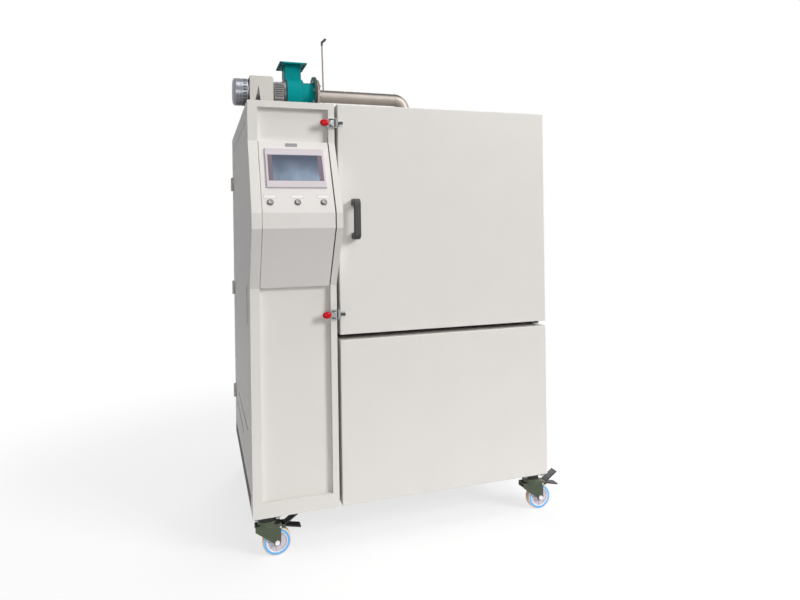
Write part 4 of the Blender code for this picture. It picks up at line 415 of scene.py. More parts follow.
def turned(profile, steps=40, closed=False):
    """Spins a profile of (radius, height) pairs round Z. An end on the axis closes by itself."""
    form = bmesh.new()
    points = [form.verts.new((radius, 0.0, height)) for radius, height in profile]
    pairs = list(zip(points, points[1:])) + ([(points[-1], points[0])] if closed else [])
    lines = [form.edges.new(pair) for pair in pairs]
    bmesh.ops.spin(form, geom=points + lines, cent=(0, 0, 0), axis=(0, 0, 1), angle=math.tau,
                   steps=steps, use_merge=True)
    bmesh.ops.remove_doubles(form, verts=form.verts, dist=0.002 * MM)
    bmesh.ops.recalc_face_normals(form, faces=form.faces)
    return form


def lathe(profile, steps=40, closed=False):
    """The same, from a profile written in millimetres."""
    return turned([(radius * MM, height * MM) for radius, height in profile], steps, closed)


def aim(form, place, direction=(0, 0, 1), roll=0.0):
    """Moves a form made on Z to place, with its axis along direction."""
    facing = Vector(direction).to_track_quat("Z", "Y").to_matrix().to_4x4()
    turn = facing @ Matrix.Rotation(roll, 4, "Z")
    bmesh.ops.transform(form, matrix=Matrix.Translation(Vector(place)) @ turn, verts=form.verts)
    return form


def gather(forms):
    """Joins forms into the first one."""
    whole = forms[0]
    for extra in forms[1:]:
        mesh = bpy.data.meshes.new("extra")
        extra.to_mesh(mesh)
        extra.free()
        whole.from_mesh(mesh)
        bpy.data.meshes.remove(mesh)
    return whole


def detail(name, forms, slot, body, replaced=(), look=None):
    """Several forms as one shaded piece on a body."""
    form = gather(forms)
    shade(form)
    return piece(name, form, slot, body, replaced, look)


print("basic forms ready")

# %% [markdown]
# Only the head of a screw is seen, so only the head is made. A hexagon head is a six-sided
# cylinder with softened corners on a washer, and a round one is turned with its driver's hole.
# A few dozen faces each are enough, since there are about two hundred of them.

# %% Heads of screws and bolts
def hex_head(across, height, washer=0.0):
    """A hexagon head with turned-down corners, on a washer if that has a thickness."""
    form = bmesh.new()
    radius = across / 2 / math.cos(math.pi / 6)
    bmesh.ops.create_cone(form, cap_ends=True, segments=6, radius1=radius, radius2=radius,
                          depth=height)
    bmesh.ops.translate(form, vec=(0, 0, washer + height / 2), verts=form.verts)
    soften(form, height * 0.12, 1)
    if not washer:
        return form
    edge, rim = washer / 3, across * 0.95
    ring = [(0.0, 0.0), (rim, 0.0), (rim, washer - edge), (rim - edge, washer), (0.0, washer)]
    return gather([form, turned(ring, 20)])


def round_head(radius, height):
    """A low round head with a driver's hole, such as a furniture screw has."""
    hole, bottom = radius * 0.42, height * 0.35
    return turned([(0.0, bottom), (hole, bottom), (hole, height), (radius * 0.75, height * 0.96),
                   (radius * 0.95, height * 0.6), (radius, height * 0.2), (radius, 0.0)], 14)


def screws(radius, height, places, direction):
    """Round-headed screws of one size at several places, all facing one way."""
    return [aim(round_head(radius, height), place, direction) for place in places]


print("heads ready")

# %% [markdown]
# The touch screen lies on the console's upper slope, so its parts are laid out flat and then
# set on the slope by one matrix: X along the slope, Y up it and Z straight out of it. The
# display is a thin pane within the glass, painted dark at the top and pale below: a painted
# reflection of the room.

# %% The console's slope
SLOPE_TOP, SLOPE_FOOT = Vector((0.0, -0.492, 1.6147)), Vector((0.0, -0.628, 1.3350))
SLOPE_DOWN = (SLOPE_FOOT - SLOPE_TOP).normalized()
SLOPE_OUT = Vector((0.0, SLOPE_DOWN.z, -SLOPE_DOWN.y))


def lay(form, x, down, out=0.0):
    """Lays a form made flat at the origin on the slope, so far down from its top edge."""
    place = SLOPE_TOP + SLOPE_DOWN * down + SLOPE_OUT * out + Vector((x, 0, 0))
    turn = Matrix((Vector((1, 0, 0)), -SLOPE_DOWN, SLOPE_OUT)).transposed().to_4x4()
    bmesh.ops.transform(form, matrix=Matrix.Translation(place) @ turn, verts=form.verts)
    return form


def rounded_plate(width, height, thick, corner, edge=0.15 * MM):
    """A flat plate round the origin whose four corners are rounded, and then its rim."""
    form = slab((-width / 2, -height / 2, 0), (width / 2, height / 2, thick), 0)
    upright = [line for line in form.edges
               if abs(line.verts[0].co.z - line.verts[1].co.z) > thick / 2]
    bmesh.ops.bevel(form, geom=upright, offset=corner, offset_type="OFFSET", affect="EDGES",
                    segments=5, profile=0.5, material=-1)
    if edge:
        soften(form, edge, 2, 1.2)
    return form


screen_low, screen_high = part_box("touch_screen")
screen_x = (screen_low.x + screen_high.x) / 2
screen_wide, screen_tall = screen_high.x - screen_low.x, 0.1134
SCREEN_DOWN, SCREEN_OUT = 0.1225, 0.0065
print("screen", round(screen_wide, 4), "by", screen_tall)

# %% Touch screen
REFLECTION_DARK_FROM, REFLECTION_PALE_FROM = 1.545, 1.462
finish("screen_border", (122, 110, 119), (112, 101, 111), rough=0.4, spread=0.03, grain=600,
       relief=0.02, shader={"Specular IOR Level": 0.2})
finish("pale_print", (226, 224, 228), (218, 216, 221), rough=0.4, grain=500, relief=0.05)
glass = finish("display_glass", (84, 90, 104), (98, 108, 124), rough=0.36, spread=0.03, patch=9,
               grain=200, relief=0.01, shader={"Specular IOR Level": 0.2}).node_tree
# The display's colour runs from dark at the top to pale below, broken by a noise: painted
# reflection.
spot = put(glass, "TexCoord").outputs["Object"]
rise = put(glass, "SeparateXYZ", {0: spot}).outputs["Z"]
lower = put(glass, "MapRange", {"Value": rise, "From Min": REFLECTION_DARK_FROM,
                                "From Max": REFLECTION_PALE_FROM}).outputs[0]
share = put(glass, "Math", {0: lower, 1: noise(glass, spot, 13.0, 1.0)}, operation="MULTIPLY")
painted_reflection = put(glass, "Mix", {0: share.outputs[0], 6: tone(70, 78, 95), 7: tone(162, 182, 204)},
            data_type="RGBA").outputs[2]
glass.links.new(painted_reflection, glass.nodes["Principled BSDF"].inputs["Base Color"])
dressed("touch_screen_bezel", 0.7 * MM, segments=3)
dressed("touch_screen", 0.15 * MM, look="screen_border")
strip = screen_wide * 0.084
pane = rounded_plate(screen_wide - 2 * strip, screen_tall - 1.2 * MM, 0.25 * MM, 0.4 * MM, 0)
detail("display", [lay(pane, screen_x, SCREEN_DOWN, SCREEN_OUT)], "screen_glass", "cabinet",
       look="display_glass")
lens_cap = lathe([(0, 0), (1.5, 0), (1.4, 0.3), (0, 0.4)], 16)
detail("status_lamp", [lay(lens_cap, screen_x + screen_wide / 2 - strip * 0.85,
                           SCREEN_DOWN + screen_tall * 0.38, SCREEN_OUT)],
       "bezel_plastic", "cabinet", look="pale_print")
print("screen made")

# %% [markdown]
# Each push button is a dark threaded ring round a lighter cap with a dished top. Both are lathe
# profiles, and the dish is a low curve in the cap's. The ring stays on the console, while the
# cap rides on the button's own body and travels with it.

# %% Push buttons
BUTTON_X, BUTTON_DOWN = (-0.596019, -0.496019, -0.398019), 0.268
BUTTON_CAP = [(0, -11.5), (8.6, -11.5), (8.75, 5.6), (8.2, 7.1), (7.4, 7.4), (6.6, 6.9),
              (5.2, 5.6), (2.8, 4.9), (0, 4.7)]
BUTTON_RING = [(9.3, 0.1), (12.3, 0.1), (12.3, 2.0), (11.6, 3.7), (10.2, 4.2), (9.3, 3.6)]
finish("ring_plastic", (66, 63, 62), (54, 52, 51), rough=0.3, grain=900, relief=0.1,
       edge=(120, 118, 117))
for number, x in enumerate(BUTTON_X, start=1):
    detail(f"button_cap_{number}", [lay(lathe(BUTTON_CAP, 48), x, BUTTON_DOWN)],
           "button_plastic", f"button_{number}", [f"push_button_{number}"])
    detail(f"button_ring_{number}", [lay(lathe(BUTTON_RING, 48, closed=True), x, BUTTON_DOWN)],
           "button_plastic", "cabinet", look="ring_plastic")
print("buttons", len(BUTTON_X))

# %% [markdown]
# Above each button sits a small bare label plate, and above the screen a bare name plate. Each
# is a darker plate with a smaller one lying on it, so that a thin rim shows all round.

# %% Bare plates
PLATES = [(x, 0.2435, 46 * MM, 15 * MM) for x in BUTTON_X] + [(-0.502, 0.0165, 46 * MM, 16 * MM)]
PLATE_THICK, PLATE_RIM = 0.35 * MM, 1.4 * MM
finish("plate_rim", (128, 126, 128), (116, 114, 117), rough=0.5, grain=700, relief=0.08)
finish("name_plate", (150, 150, 152), (128, 128, 131), rough=0.4, patch=30, grain=900,
       relief=0.05, stretch=(0.2, 1, 1), shader={"Specular IOR Level": 0.3})
finish("label_plate", (231, 229, 226), (226, 224, 221), rough=0.35, grain=900, relief=0.04)
rims = [lay(rounded_plate(wide, tall, PLATE_THICK, 2.6 * MM), x, down, 0.05 * MM)
        for x, down, wide, tall in PLATES]
faces = [lay(rounded_plate(wide - PLATE_RIM, tall - PLATE_RIM, PLATE_THICK, 2.0 * MM), x, down,
             0.2 * MM) for x, down, wide, tall in PLATES]
detail("plate_rims", rims, "console_paint", "cabinet", look="plate_rim")
detail("label_plates", faces[:3], "console_paint", "cabinet", look="label_plate")
detail("name_plate", faces[3:], "bright_steel", "cabinet", look="name_plate")
print("plates", len(PLATES))

# %% [markdown]
# The toggle latches have a pale plated base with two dark lugs, a lever that ends in a red oval
# grip, and a hook link whose claw holds a keeper on the door, pale and dark like the base. In
# the frame the lever is one solid, so the grip is made anew as a smooth ellipsoid that just
# covers the frame's coarse one, and the rest of the lever becomes plated steel. The faces in
# front of the plate are the lugs, so they take the darker plating.

# %% Toggle latches
LATCH_HEIGHT = {"upper": 1.692, "lower": 0.935}
PLATE_FRONT = {"latch_base_": -0.4965, "keeper_": -0.4955}
GRIP, GRIP_HALF = (-0.371019, -0.507), (18.3 * MM, 7.7 * MM, 13.7 * MM)
PIN, BASE_RIVET, KEEPER_SCREW = (-0.343019, -0.504), (-0.3345, -0.49505), (-0.2998, -0.4943)
PIN_HEAD = [(0, 0), (3.4, 0), (3.2, 0.8), (1.8, 1.4), (0, 1.5)]
finish("zinc_plate", (158, 158, 160), (120, 121, 126), rough=0.3, spread=0.1, patch=90,
       grain=900, relief=0.15, edge=(214, 214, 216), shader={"Metallic": 0.9})
finish("dark_zinc", (84, 82, 80), (58, 57, 57), rough=0.35, spread=0.1, patch=90, grain=900,
       relief=0.15, edge=(170, 170, 170), highlight_radius=0.6 * MM, shader={"Metallic": 0.85})
finish("pale_zinc", (206, 206, 204), (188, 188, 187), rough=0.45, spread=0.08, patch=90,
       grain=900, relief=0.1, shader={"Metallic": 0.4})
for place, height in LATCH_HEIGHT.items():
    body = f"{place}_latch_lever"
    dressed(f"latch_link_{place}", 0.35 * MM, look="zinc_plate")
    for node, front in PLATE_FRONT.items():
        made = dressed(node + place, 0.35 * MM, look="pale_zinc")
        second_finish(made, "dark_zinc", lambda centre: centre.y < front)
    detail(f"lever_arm_{place}", [merged(f"latch_lever_{place}")], "bright_steel", body,
           [f"latch_lever_{place}"], "zinc_plate")
    grip = bmesh.new()
    bmesh.ops.create_uvsphere(grip, u_segments=40, v_segments=24, radius=1.0)
    bmesh.ops.scale(grip, vec=GRIP_HALF, verts=grip.verts)
    bmesh.ops.translate(grip, vec=(*GRIP, height), verts=grip.verts)
    detail(f"lever_grip_{place}", [grip], "red_plastic", body)
    pins = [aim(lathe(PIN_HEAD, 16), (*PIN, height + side * 15.5 * MM), (0, 0, side))
            for side in (-1, 1)]
    rivets = screws(2.0 * MM, 1.2 * MM, [(*BASE_RIVET, height + side * 17.5 * MM)
                                         for side in (-1, 1)], (0, -1, 0))
    detail(f"latch_rivets_{place}", pins + rivets, "bright_steel", "cabinet")
    studs = screws(1.9 * MM, 1.1 * MM, [(*KEEPER_SCREW, height + side * 8.6 * MM)
                                        for side in (-1, 1)], (0, -1, 0))
    detail(f"keeper_screws_{place}", studs, "bright_steel", "furnace_door")
    print(place, "latch made")

# %% [markdown]
# The door handle is a moulded bridge. Its edges are generously rounded, and a screw cap sits
# in each side of both feet, sunk a little. The flush handle on the column's side is the same
# plastic.

# %% Handles
CAP_SUNK, CAP_Y, CAP_RISE = 0.9 * MM, -0.503, 13 * MM
HANDLE_CAP = [(0, 0), (5.2, 0), (5.2, 0.5), (4.4, 1.0), (0, 1.2)]
dressed("door_handle", 2.2 * MM, segments=4)
handle_low, handle_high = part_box("door_handle")
caps = [aim(lathe(HANDLE_CAP, 24), (x, CAP_Y, z), (side, 0, 0))
        for x, side in ((handle_low.x + CAP_SUNK, -1), (handle_high.x - CAP_SUNK, 1))
        for z in (handle_low.z + CAP_RISE, handle_high.z - CAP_RISE)]
detail("handle_caps", caps, "black_plastic", "furnace_door")
dressed("flush_handle", 0.7 * MM)
print("handles made")

# %% [markdown]
# A caster has a pressed fork in olive grey, a wheel with a cream tread and bright blue side
# bands, and plated nuts. The wheel is one lathe profile. Its faces are sorted by their
# distance from the axle, and each ring takes its own finish. Ribs stiffen the web.

# %% Finishes of the casters
finish("wheel_blue", (112, 184, 245), (98, 172, 238), rough=0.3, grain=500, relief=0.06,
       edge=(176, 216, 250))
finish("wheel_tread", (246, 220, 186), (238, 206, 166), rough=0.5, patch=40, grain=420,
       relief=0.2)
finish("wheel_white", (244, 242, 246), (234, 230, 238), rough=0.35, grain=700, relief=0.08)
finish("black_steel", (44, 44, 41), (32, 32, 30), rough=0.42, grain=500, relief=0.2,
       edge=(86, 86, 82), shader={"Metallic": 0.4})
finish("pedal_paint", (30, 27, 27), (22, 20, 20), rough=0.4, grain=600, relief=0.2,
       edge=(70, 66, 66), highlight_radius=0.6 * MM)
print("with caster finishes", len(FINISH))

# %% Casters
WHEEL_HALF = [(5.7, 19.9), (12.0, 19.9), (12.5, 19.4), (12.7, 15.2), (17.4, 14.6), (18.0, 14.0),
              (18.4, 10.8), (35.5, 10.4), (36.8, 11.2), (37.6, 14.4), (39.0, 15.0), (40.6, 15.0),
              (41.4, 15.9), (50.6, 15.9), (52.8, 14.8), (54.4, 12.2), (55.0, 8.0), (55.0, 0.0)]
WHEEL_PROFILE = WHEEL_HALF + [(radius, -out) for radius, out in reversed(WHEEL_HALF[:-1])]
RINGS = ((51.0, "wheel_tread"), (41.0, "wheel_blue"), (37.2, "wheel_white"))
AXLES = {"front_left": (-0.571, -0.437), "front_right": (0.595, -0.437),
         "rear_left": (-0.571, 0.563), "rear_right": (0.595, 0.563)}
AXLE_Z, CASTER_TRAIL, FORK_FACE, HUB_REACH = 55 * MM, 37 * MM, 24.2 * MM, 12 * MM
RIVET_HEAD = [(0, 0), (3.6, 0), (3.4, 0.9), (2.0, 1.7), (0, 1.9)]


def wheel_ribs():
    """Eight ribs on each side of a wheel's web, round Z."""
    ribs = []
    for flip in (math.pi, 0.0):
        for number in range(8):
            rib = slab((17 * MM, -1.2 * MM, 9 * MM), (37 * MM, 1.2 * MM, 13.4 * MM), 0.5 * MM)
            for angle, axis in ((math.tau * number / 8, "Z"), (flip, "X")):
                bmesh.ops.rotate(rib, cent=(0, 0, 0), matrix=Matrix.Rotation(angle, 3, axis),
                                 verts=rib.verts)
            ribs.append(rib)
    return ribs


for corner, (axle_x, axle_y) in AXLES.items():
    wheel = lathe(WHEEL_PROFILE, 64, closed=True)
    for face in wheel.faces:
        centre = face.calc_center_median()
        reach = math.hypot(centre.x, centre.y) / MM
        face.material_index = next((index for index, (limit, look) in enumerate(RINGS, start=1)
                                    if reach > limit), 0)
    wheel = aim(gather([wheel] + wheel_ribs()), (axle_x, axle_y, AXLE_Z), (0, 1, 0))
    shade(wheel)
    made = piece(f"wheel_{corner}", wheel, "wheel_plastic", f"{corner}_wheel",
                 [f"caster_wheel_{corner}"])
    for limit, look in RINGS:
        made.data.materials.append(FINISH[look])
    fork = dressed(f"caster_fork_{corner}", 0.7 * MM)
    second_finish(fork, "wheel_white", lambda centre: abs(centre.y - axle_y) > FORK_FACE
                  and math.hypot(centre.x - axle_x, centre.z - AXLE_Z) < HUB_REACH)
    rivets = [aim(lathe(RIVET_HEAD, 20), (axle_x + 13 * MM, axle_y + side * 24.0 * MM, 114 * MM),
                  (0, side, 0)) for side in (-1, 1)]
    detail(f"fork_rivets_{corner}", rivets, "fork_paint", f"{corner}_fork", look="wheel_white")
    nuts = [aim(hex_head(13 * MM, 6 * MM, 1.2 * MM),
                (axle_x - CASTER_TRAIL + across * 41 * MM, axle_y + along * 31 * MM, 163 * MM),
                (0, 0, -1), roll=0.3 * across) for across in (-1, 1) for along in (-1, 1)]
    detail(f"caster_nuts_{corner}", nuts, "dark_steel", "cabinet", look="zinc_plate")
    print(corner, "wheel", len(made.data.polygons))

# %% [markdown]
# Each front caster has a black brake pedal. The lower flange of the base, over the casters, is
# black as well. It is the same solid as the pale base, so its faces are told apart by height.

# %% Pedals, and the black flange over the casters
FLANGE_TOP = 169 * MM
for side in ("left", "right"):
    dressed(f"brake_pedal_front_{side}", 0.8 * MM, look="pedal_paint")
second_finish(bpy.data.objects["base_frame_dressed"], "black_steel",
              lambda centre: centre.z < FLANGE_TOP)
print("black up to", FLANGE_TOP)

# %% [markdown]
# A cord is a curve with a round section that is turned into a mesh. It makes cables, rods and
# gaskets. Corners of its route are cut by short arcs, because wire and rod never turn sharply.

# %% Cords
def bent(points, radius, steps=6, closed=False):
    """A route through points whose corners are rounded off, starting radius before each one."""
    points = [Vector(point) for point in points]
    last, route = len(points) - 1, []
    for index, corner in enumerate(points):
        if not closed and index in (0, last):
            route.append(corner)
            continue
        back, on = points[index - 1] - corner, points[(index + 1) % len(points)] - corner
        start = corner + back.normalized() * min(radius, back.length / 2.01)
        end = corner + on.normalized() * min(radius, on.length / 2.01)
        shares = [step / steps for step in range(steps + 1)]
        route += [start.lerp(corner, share).lerp(corner.lerp(end, share), share)
                  for share in shares]
    return route


def cord(route, radius, closed=False, resolution=3):
    """A round cord along a route."""
    curve = bpy.data.curves.new("cord", "CURVE")
    curve.dimensions, curve.use_fill_caps = "3D", True
    curve.bevel_depth, curve.bevel_resolution = radius, resolution
    line = curve.splines.new("POLY")
    line.points.add(len(route) - 1)
    for spot, place in zip(line.points, route):
        spot.co = (*place, 1.0)
    line.use_cyclic_u = closed
    holder = bpy.data.objects.new("cord", curve)
    mesh = bpy.data.meshes.new_from_object(holder)
    form = bmesh.new()
    form.from_mesh(mesh)
    bmesh.ops.remove_doubles(form, verts=form.verts, dist=0.001 * MM)
    bmesh.ops.recalc_face_normals(form, faces=form.faces)
    bpy.data.objects.remove(holder)
    bpy.data.curves.remove(curve)
    bpy.data.meshes.remove(mesh)
    return form


def around(count, radius, make, start=0.0):
    """Copies of a form set round Z at a radius. make builds one at the origin."""
    copies = []
    for number in range(count):
        turn = Matrix.Rotation(start + math.tau * number / count, 4, "Z")
        form = make()
        bmesh.ops.transform(form, matrix=turn @ Matrix.Translation((radius, 0, 0)),
                            verts=form.verts)
        copies.append(form)
    return gather(copies)


def bead(radius, thick):
    """A ring of round section round Z, such as a weld."""
    return turned([(radius + thick * math.cos(angle), thick * math.sin(angle))
                   for angle in (math.tau * step / 8 for step in range(8))], 56, closed=True)


print("cords ready")

# %% [markdown]
# The blower's axis lies along X above the roof, and one helper lays every round piece on it.
# The scroll keeps the frame's spiral. Its welded seams could be beads, but they are so fine
# that a darker enamel on the rounded edges draws them better.

# %% Blower scroll
FAN_Y, FAN_Z = 0.068, 1.919
SCROLL_SIDES = (-446.019 * MM, -368.019 * MM)
# The darker enamel draws the scroll's seams, and on the bolts under the outlet flange it is painted
# shade.
finish("dark_enamel", (10, 72, 74), (8, 60, 62), rough=0.45, grain=300, relief=0.2,
       shader={"Specular IOR Level": 0.25})


def on_fan_axis(form, x=0.0, direction=1):
    """Lays a form made on Z along the blower's axis."""
    return aim(form, (x, FAN_Y, FAN_Z), (direction, 0, 0))


def is_seam(line):
    """An outer edge of the scroll that lies in one of its two flat sides."""
    return line.is_convex and any(all(abs(vert.co.x - side) < 0.1 * MM for vert in line.verts)
                                  for side in SCROLL_SIDES)


scroll = merged("fan_housing")
for face in scroll.faces:
    face.material_index = 0
soften(scroll, 2.4 * MM, 3, wanted=is_seam, mark=CURVED)
seams = [face for face in scroll.faces if face.material_index == CURVED]
shade(scroll)
for face in seams:
    face.material_index = 1
print("seam faces", len(seams))
made = piece("fan_scroll", scroll, "blower_paint", "cabinet", ["fan_housing"])
made.data.materials.append(FINISH["dark_enamel"])

# %% [markdown]
# The inlet neck is turned in one profile, from the scroll's cover plate to its flange. The
# flange's rim and front are painted near black, as painted shade. A second piece could lie
# there, but it is simpler to pick those faces of the profile by their place and give them
# another finish.

# %% Inlet neck and the blower's bolts
NECK = [(52, -367.5), (69, -367.5), (69, -365.3), (68.5, -364.8), (60.2, -364.8), (59, -363.6),
        (59, -318.2), (61.2, -316), (88.8, -316), (90, -314.8), (90, -303.9), (88.8, -302.7),
        (33.2, -302.7), (32, -303.9), (32, -316), (52, -316)]
SHADED_RIM_RADIUS, SHADED_RIM_X, FLANGE_FACE_X = 88.9 * MM, -314 * MM, -303 * MM
# This near black is painted shade wherever it is used: the flange rim, the cowl and the lid's gaps.
finish("black_rubber", (34, 36, 36), (26, 28, 28), rough=0.6, grain=600, relief=0.3)
neck = on_fan_axis(lathe(NECK, 96, closed=True))
for face in neck.faces:
    face.smooth = True
for line in neck.edges:
    line.smooth = line.calc_face_angle(0.0) < 0.7
# The flange's rim and front face take the near black: painted shade.
for face in neck.faces:
    centre = face.calc_center_median()
    rim = math.hypot(centre.y - FAN_Y, centre.z - FAN_Z) > SHADED_RIM_RADIUS and centre.x > SHADED_RIM_X
    face.material_index = int(rim or centre.x > FLANGE_FACE_X)
made = piece("inlet_neck", neck, "blower_paint", "cabinet", ["fan_inlet"])
made.data.materials.append(FINISH["black_rubber"])
cover_screws = around(6, 64.4 * MM, lambda: round_head(2.6 * MM, 1.8 * MM), 0.3)
flange_bolts = around(8, 68 * MM, lambda: hex_head(10 * MM, 4.5 * MM, 1.2 * MM), 0.2)
outlet_bolts = [aim(hex_head(9 * MM, 4 * MM, 1 * MM),
                    (-0.407 + across * 56 * MM, 0.108 + along * 71 * MM, 2.0639), (0, 0, -1))
                for across in (-1, 1) for along in (-1, -0.33, 0.33, 1)]
detail("blower_bolts", [on_fan_axis(cover_screws, -364.8 * MM),
                        on_fan_axis(flange_bolts, -316 * MM, -1)],
       "bright_steel", "cabinet", look="zinc_plate")
# The outlet bolts under the flange take the darker enamel as painted shade.
detail("outlet_bolts", outlet_bolts, "blower_paint", "cabinet", look="dark_enamel")
print("inlet neck", len(made.data.polygons))

# %% [markdown]
# The motor is a cast shell with ribs round it and a pressed cowl at the tail. Slots in the cowl
# could be cut, but black inlays a tenth of a millimetre proud of the sheet, painted shade where
# the openings would be, read as depth from any distance and keep the cowl one clean turned
# form. A black ring where the cowl meets the motor is painted shade in the joint.

# %% Motor and its cowl
COWL = [(0, -685.8), (18, -685.8), (20, -688.3), (50.5, -688.3), (57, -686.4), (61, -682.6),
        (62.8, -677), (63, -673), (63, -655.2), (62.1, -654.6), (62.1, -652.4), (63, -651.8),
        (63, -622.4), (62.2, -620.1), (0, -620.1)]
COWL_BAND = [(61.5, -619.9), (63.05, -619.9), (63.05, -617.4), (61.5, -617.4)]
RIB = [(54, -503.5), (57.4, -503.5), (57.6, -502.3), (54, -502)]
RIB_STEP = 6
finish("cast_metal", (118, 118, 118), (82, 82, 83), rough=0.4, spread=0.1, patch=70, grain=260,
       relief=0.5, depth=0.3 * MM, edge=(168, 168, 168), shader={"Metallic": 0.7})
dressed("motor_body", 0.8 * MM, look="cast_metal")
detail("fan_cowl", [on_fan_axis(lathe(COWL, 84))], "motor_metal", "cabinet", ["motor_cowl"])
slits = around(20, 0.0, lambda: slab((24 * MM, -1.3 * MM, 0), (47 * MM, 1.3 * MM, 0.4 * MM),
                                     0.1 * MM, 1))
slots = around(26, 62.4 * MM, lambda: slab((0, -3 * MM, 0), (0.72 * MM, 3 * MM, 15 * MM),
                                           0.1 * MM, 1))
# The slits, slots and ring are black: painted shade.
detail("cowl_openings", [on_fan_axis(slits, -688.05 * MM, -1), on_fan_axis(slots, -643 * MM),
                         on_fan_axis(lathe(COWL_BAND, 84, closed=True))],
       "dark_steel", "cabinet", look="black_rubber")
ribs = [on_fan_axis(lathe([(radius, x + RIB_STEP * number) for radius, x in RIB], 64,
                          closed=True)) for number in range(8)]
detail("motor_ribs", ribs, "motor_metal", "cabinet", look="cast_metal")
print("motor ribs", len(ribs))

# %% [markdown]
# The terminal box sits in front of the motor. Its lid is a slab with seven low bars, and the
# gaps between them are black strips of painted shade. Screws hold the lid, and bolts hold the
# motor's feet.

# %% Terminal box
LID_PITCH = 10.4 * MM
finish("lid_grey", (138, 136, 133), (104, 103, 102), rough=0.5, patch=60, grain=300, relief=0.3,
       edge=(186, 184, 181))
lid = [slab((-0.5035, -0.0045, 1.8815), (-0.4605, -0.0015, 1.9565), 0.8 * MM)]
lid += [slab((-0.5, -0.0056, 1.8865 + LID_PITCH * number),
             (-0.464, -0.0044, 1.8915 + LID_PITCH * number), 0.4 * MM) for number in range(7)]
# Black strips between the bars: painted shade.
shaded_gaps = [slab((-0.501, -0.0049, 1.8921 + LID_PITCH * number),
             (-0.463, -0.0044, 1.8962 + LID_PITCH * number), 0) for number in range(6)]
detail("terminal_lid", lid, "motor_metal", "cabinet", look="lid_grey")
detail("terminal_gaps", shaded_gaps, "motor_metal", "cabinet", look="black_rubber")
box_screws = screws(2.2 * MM, 1.6 * MM, [(x, -0.0045, z) for x in (-0.5008, -0.4632)
                                         for z in (1.884, 1.954)], (0, -1, 0))
foot_bolts = [aim(hex_head(10 * MM, 4.5 * MM, 1.2 * MM), (x, y, 1.77335), (0, 0, 1))
              for x in (-0.598, -0.524) for y in (-0.0055, 0.1415)]
detail("motor_screws", box_screws + foot_bolts, "bright_steel", "cabinet", look="zinc_plate")
print("lid and screws made")

# %% [markdown]
# A black cable leaves the box through a gland and enters the roof through a grommet. Its route
# is a few points, and the corners between them are rounded.

# %% The motor's lead
GLAND = [(0, 0), (7.5, 0), (7.5, 6), (6, 7), (6, 12), (4.5, 15), (0, 15)]
GROMMET = [(0, 0), (8, 0), (7.4, 3), (4.5, 5), (0, 5)]
LEAD_ROUTE = [(-0.482, 0.012, 1.87), (-0.482, 0.012, 1.835), (-0.486, 0.06, 1.80),
              (-0.49, 0.105, 1.795), (-0.49, 0.115, 1.7705)]
gland = aim(lathe(GLAND, 6), (-0.482, 0.012, 1.8835), (0, 0, -1))
grommet = aim(lathe(GROMMET, 24), (-0.49, 0.115, 1.7703))
detail("motor_lead", [gland, cord(bent(LEAD_ROUTE, 0.02), 3.4 * MM), grommet], "black_plastic",
       "cabinet")
print("lead points", len(LEAD_ROUTE))

# %% [markdown]
# The pipe is a circle drawn along X, swung through the elbow, as a bender does it, and drawn
# down to the roof. A curve could give it too, but here each part has its exact length. The
# steel is painted darker along its top: a painted dark reflection.

# %% Exhaust pipe
PIPE_RADIUS, PIPE_START, ROOF_Z = 30.15 * MM, -292 * MM, 1.7703
ELBOW_X, ELBOW_RADIUS = 0.098981, 51 * MM
DOWN_X, ELBOW_Z = ELBOW_X + ELBOW_RADIUS, FAN_Z - ELBOW_RADIUS
PIPE_STEPS = 6
# The pipe's colour darkens along its top: a painted dark reflection.
pipe_tree = FINISH["stainless_pipe"].node_tree
spot = put(pipe_tree, "TexCoord").outputs["Object"]
rise = put(pipe_tree, "SeparateXYZ", {0: spot}).outputs["Z"]
painted_dark_top = put(pipe_tree, "MapRange", {"Value": rise, "From Min": FAN_Z + 0.3 * PIPE_RADIUS,
                                   "From Max": FAN_Z + 0.55 * PIPE_RADIUS,
                                   "To Max": 0.9}).outputs[0]
pipe_base = pipe_tree.nodes["Principled BSDF"].inputs["Base Color"]
painted_top_colour = put(pipe_tree, "Mix", {0: painted_dark_top, 6: pipe_base.links[0].from_socket, 7: tone(66, 61, 57)},
             data_type="RGBA").outputs[2]
pipe_tree.links.new(painted_top_colour, pipe_base)


def of_kind(items, kind):
    """Those of an operator's results that are vertices, or edges."""
    return [item for item in items if isinstance(item, kind)]


pipe = bmesh.new()
bmesh.ops.create_circle(pipe, segments=56, radius=PIPE_RADIUS)
on_fan_axis(pipe, PIPE_START)
ring = list(pipe.edges)
for step in range(PIPE_STEPS):
    drawn = bmesh.ops.extrude_edge_only(pipe, edges=ring)["geom"]
    fresh, ring = of_kind(drawn, bmesh.types.BMVert), of_kind(drawn, bmesh.types.BMEdge)
    bmesh.ops.translate(pipe, vec=((ELBOW_X - PIPE_START) / PIPE_STEPS, 0, 0), verts=fresh)
swung = bmesh.ops.spin(pipe, geom=ring + fresh, cent=(ELBOW_X, FAN_Y, ELBOW_Z), axis=(0, 1, 0),
                       angle=math.pi / 2, steps=20)["geom_last"]
drawn = bmesh.ops.extrude_edge_only(pipe, edges=of_kind(swung, bmesh.types.BMEdge))["geom"]
bmesh.ops.translate(pipe, vec=(0, 0, ROOF_Z - ELBOW_Z), verts=of_kind(drawn, bmesh.types.BMVert))
bmesh.ops.remove_doubles(pipe, verts=pipe.verts, dist=0.01 * MM)
bmesh.ops.recalc_face_normals(pipe, faces=pipe.faces)
print("pipe", len(pipe.faces), "faces")

# %% [markdown]
# A flange with eight bolts joins the pipe to the inlet neck, with a pale fibre gasket between
# them, and a collar screwed to the roof takes its foot. Weld beads mark the joints: each is a
# ring of round section laid on the seam.

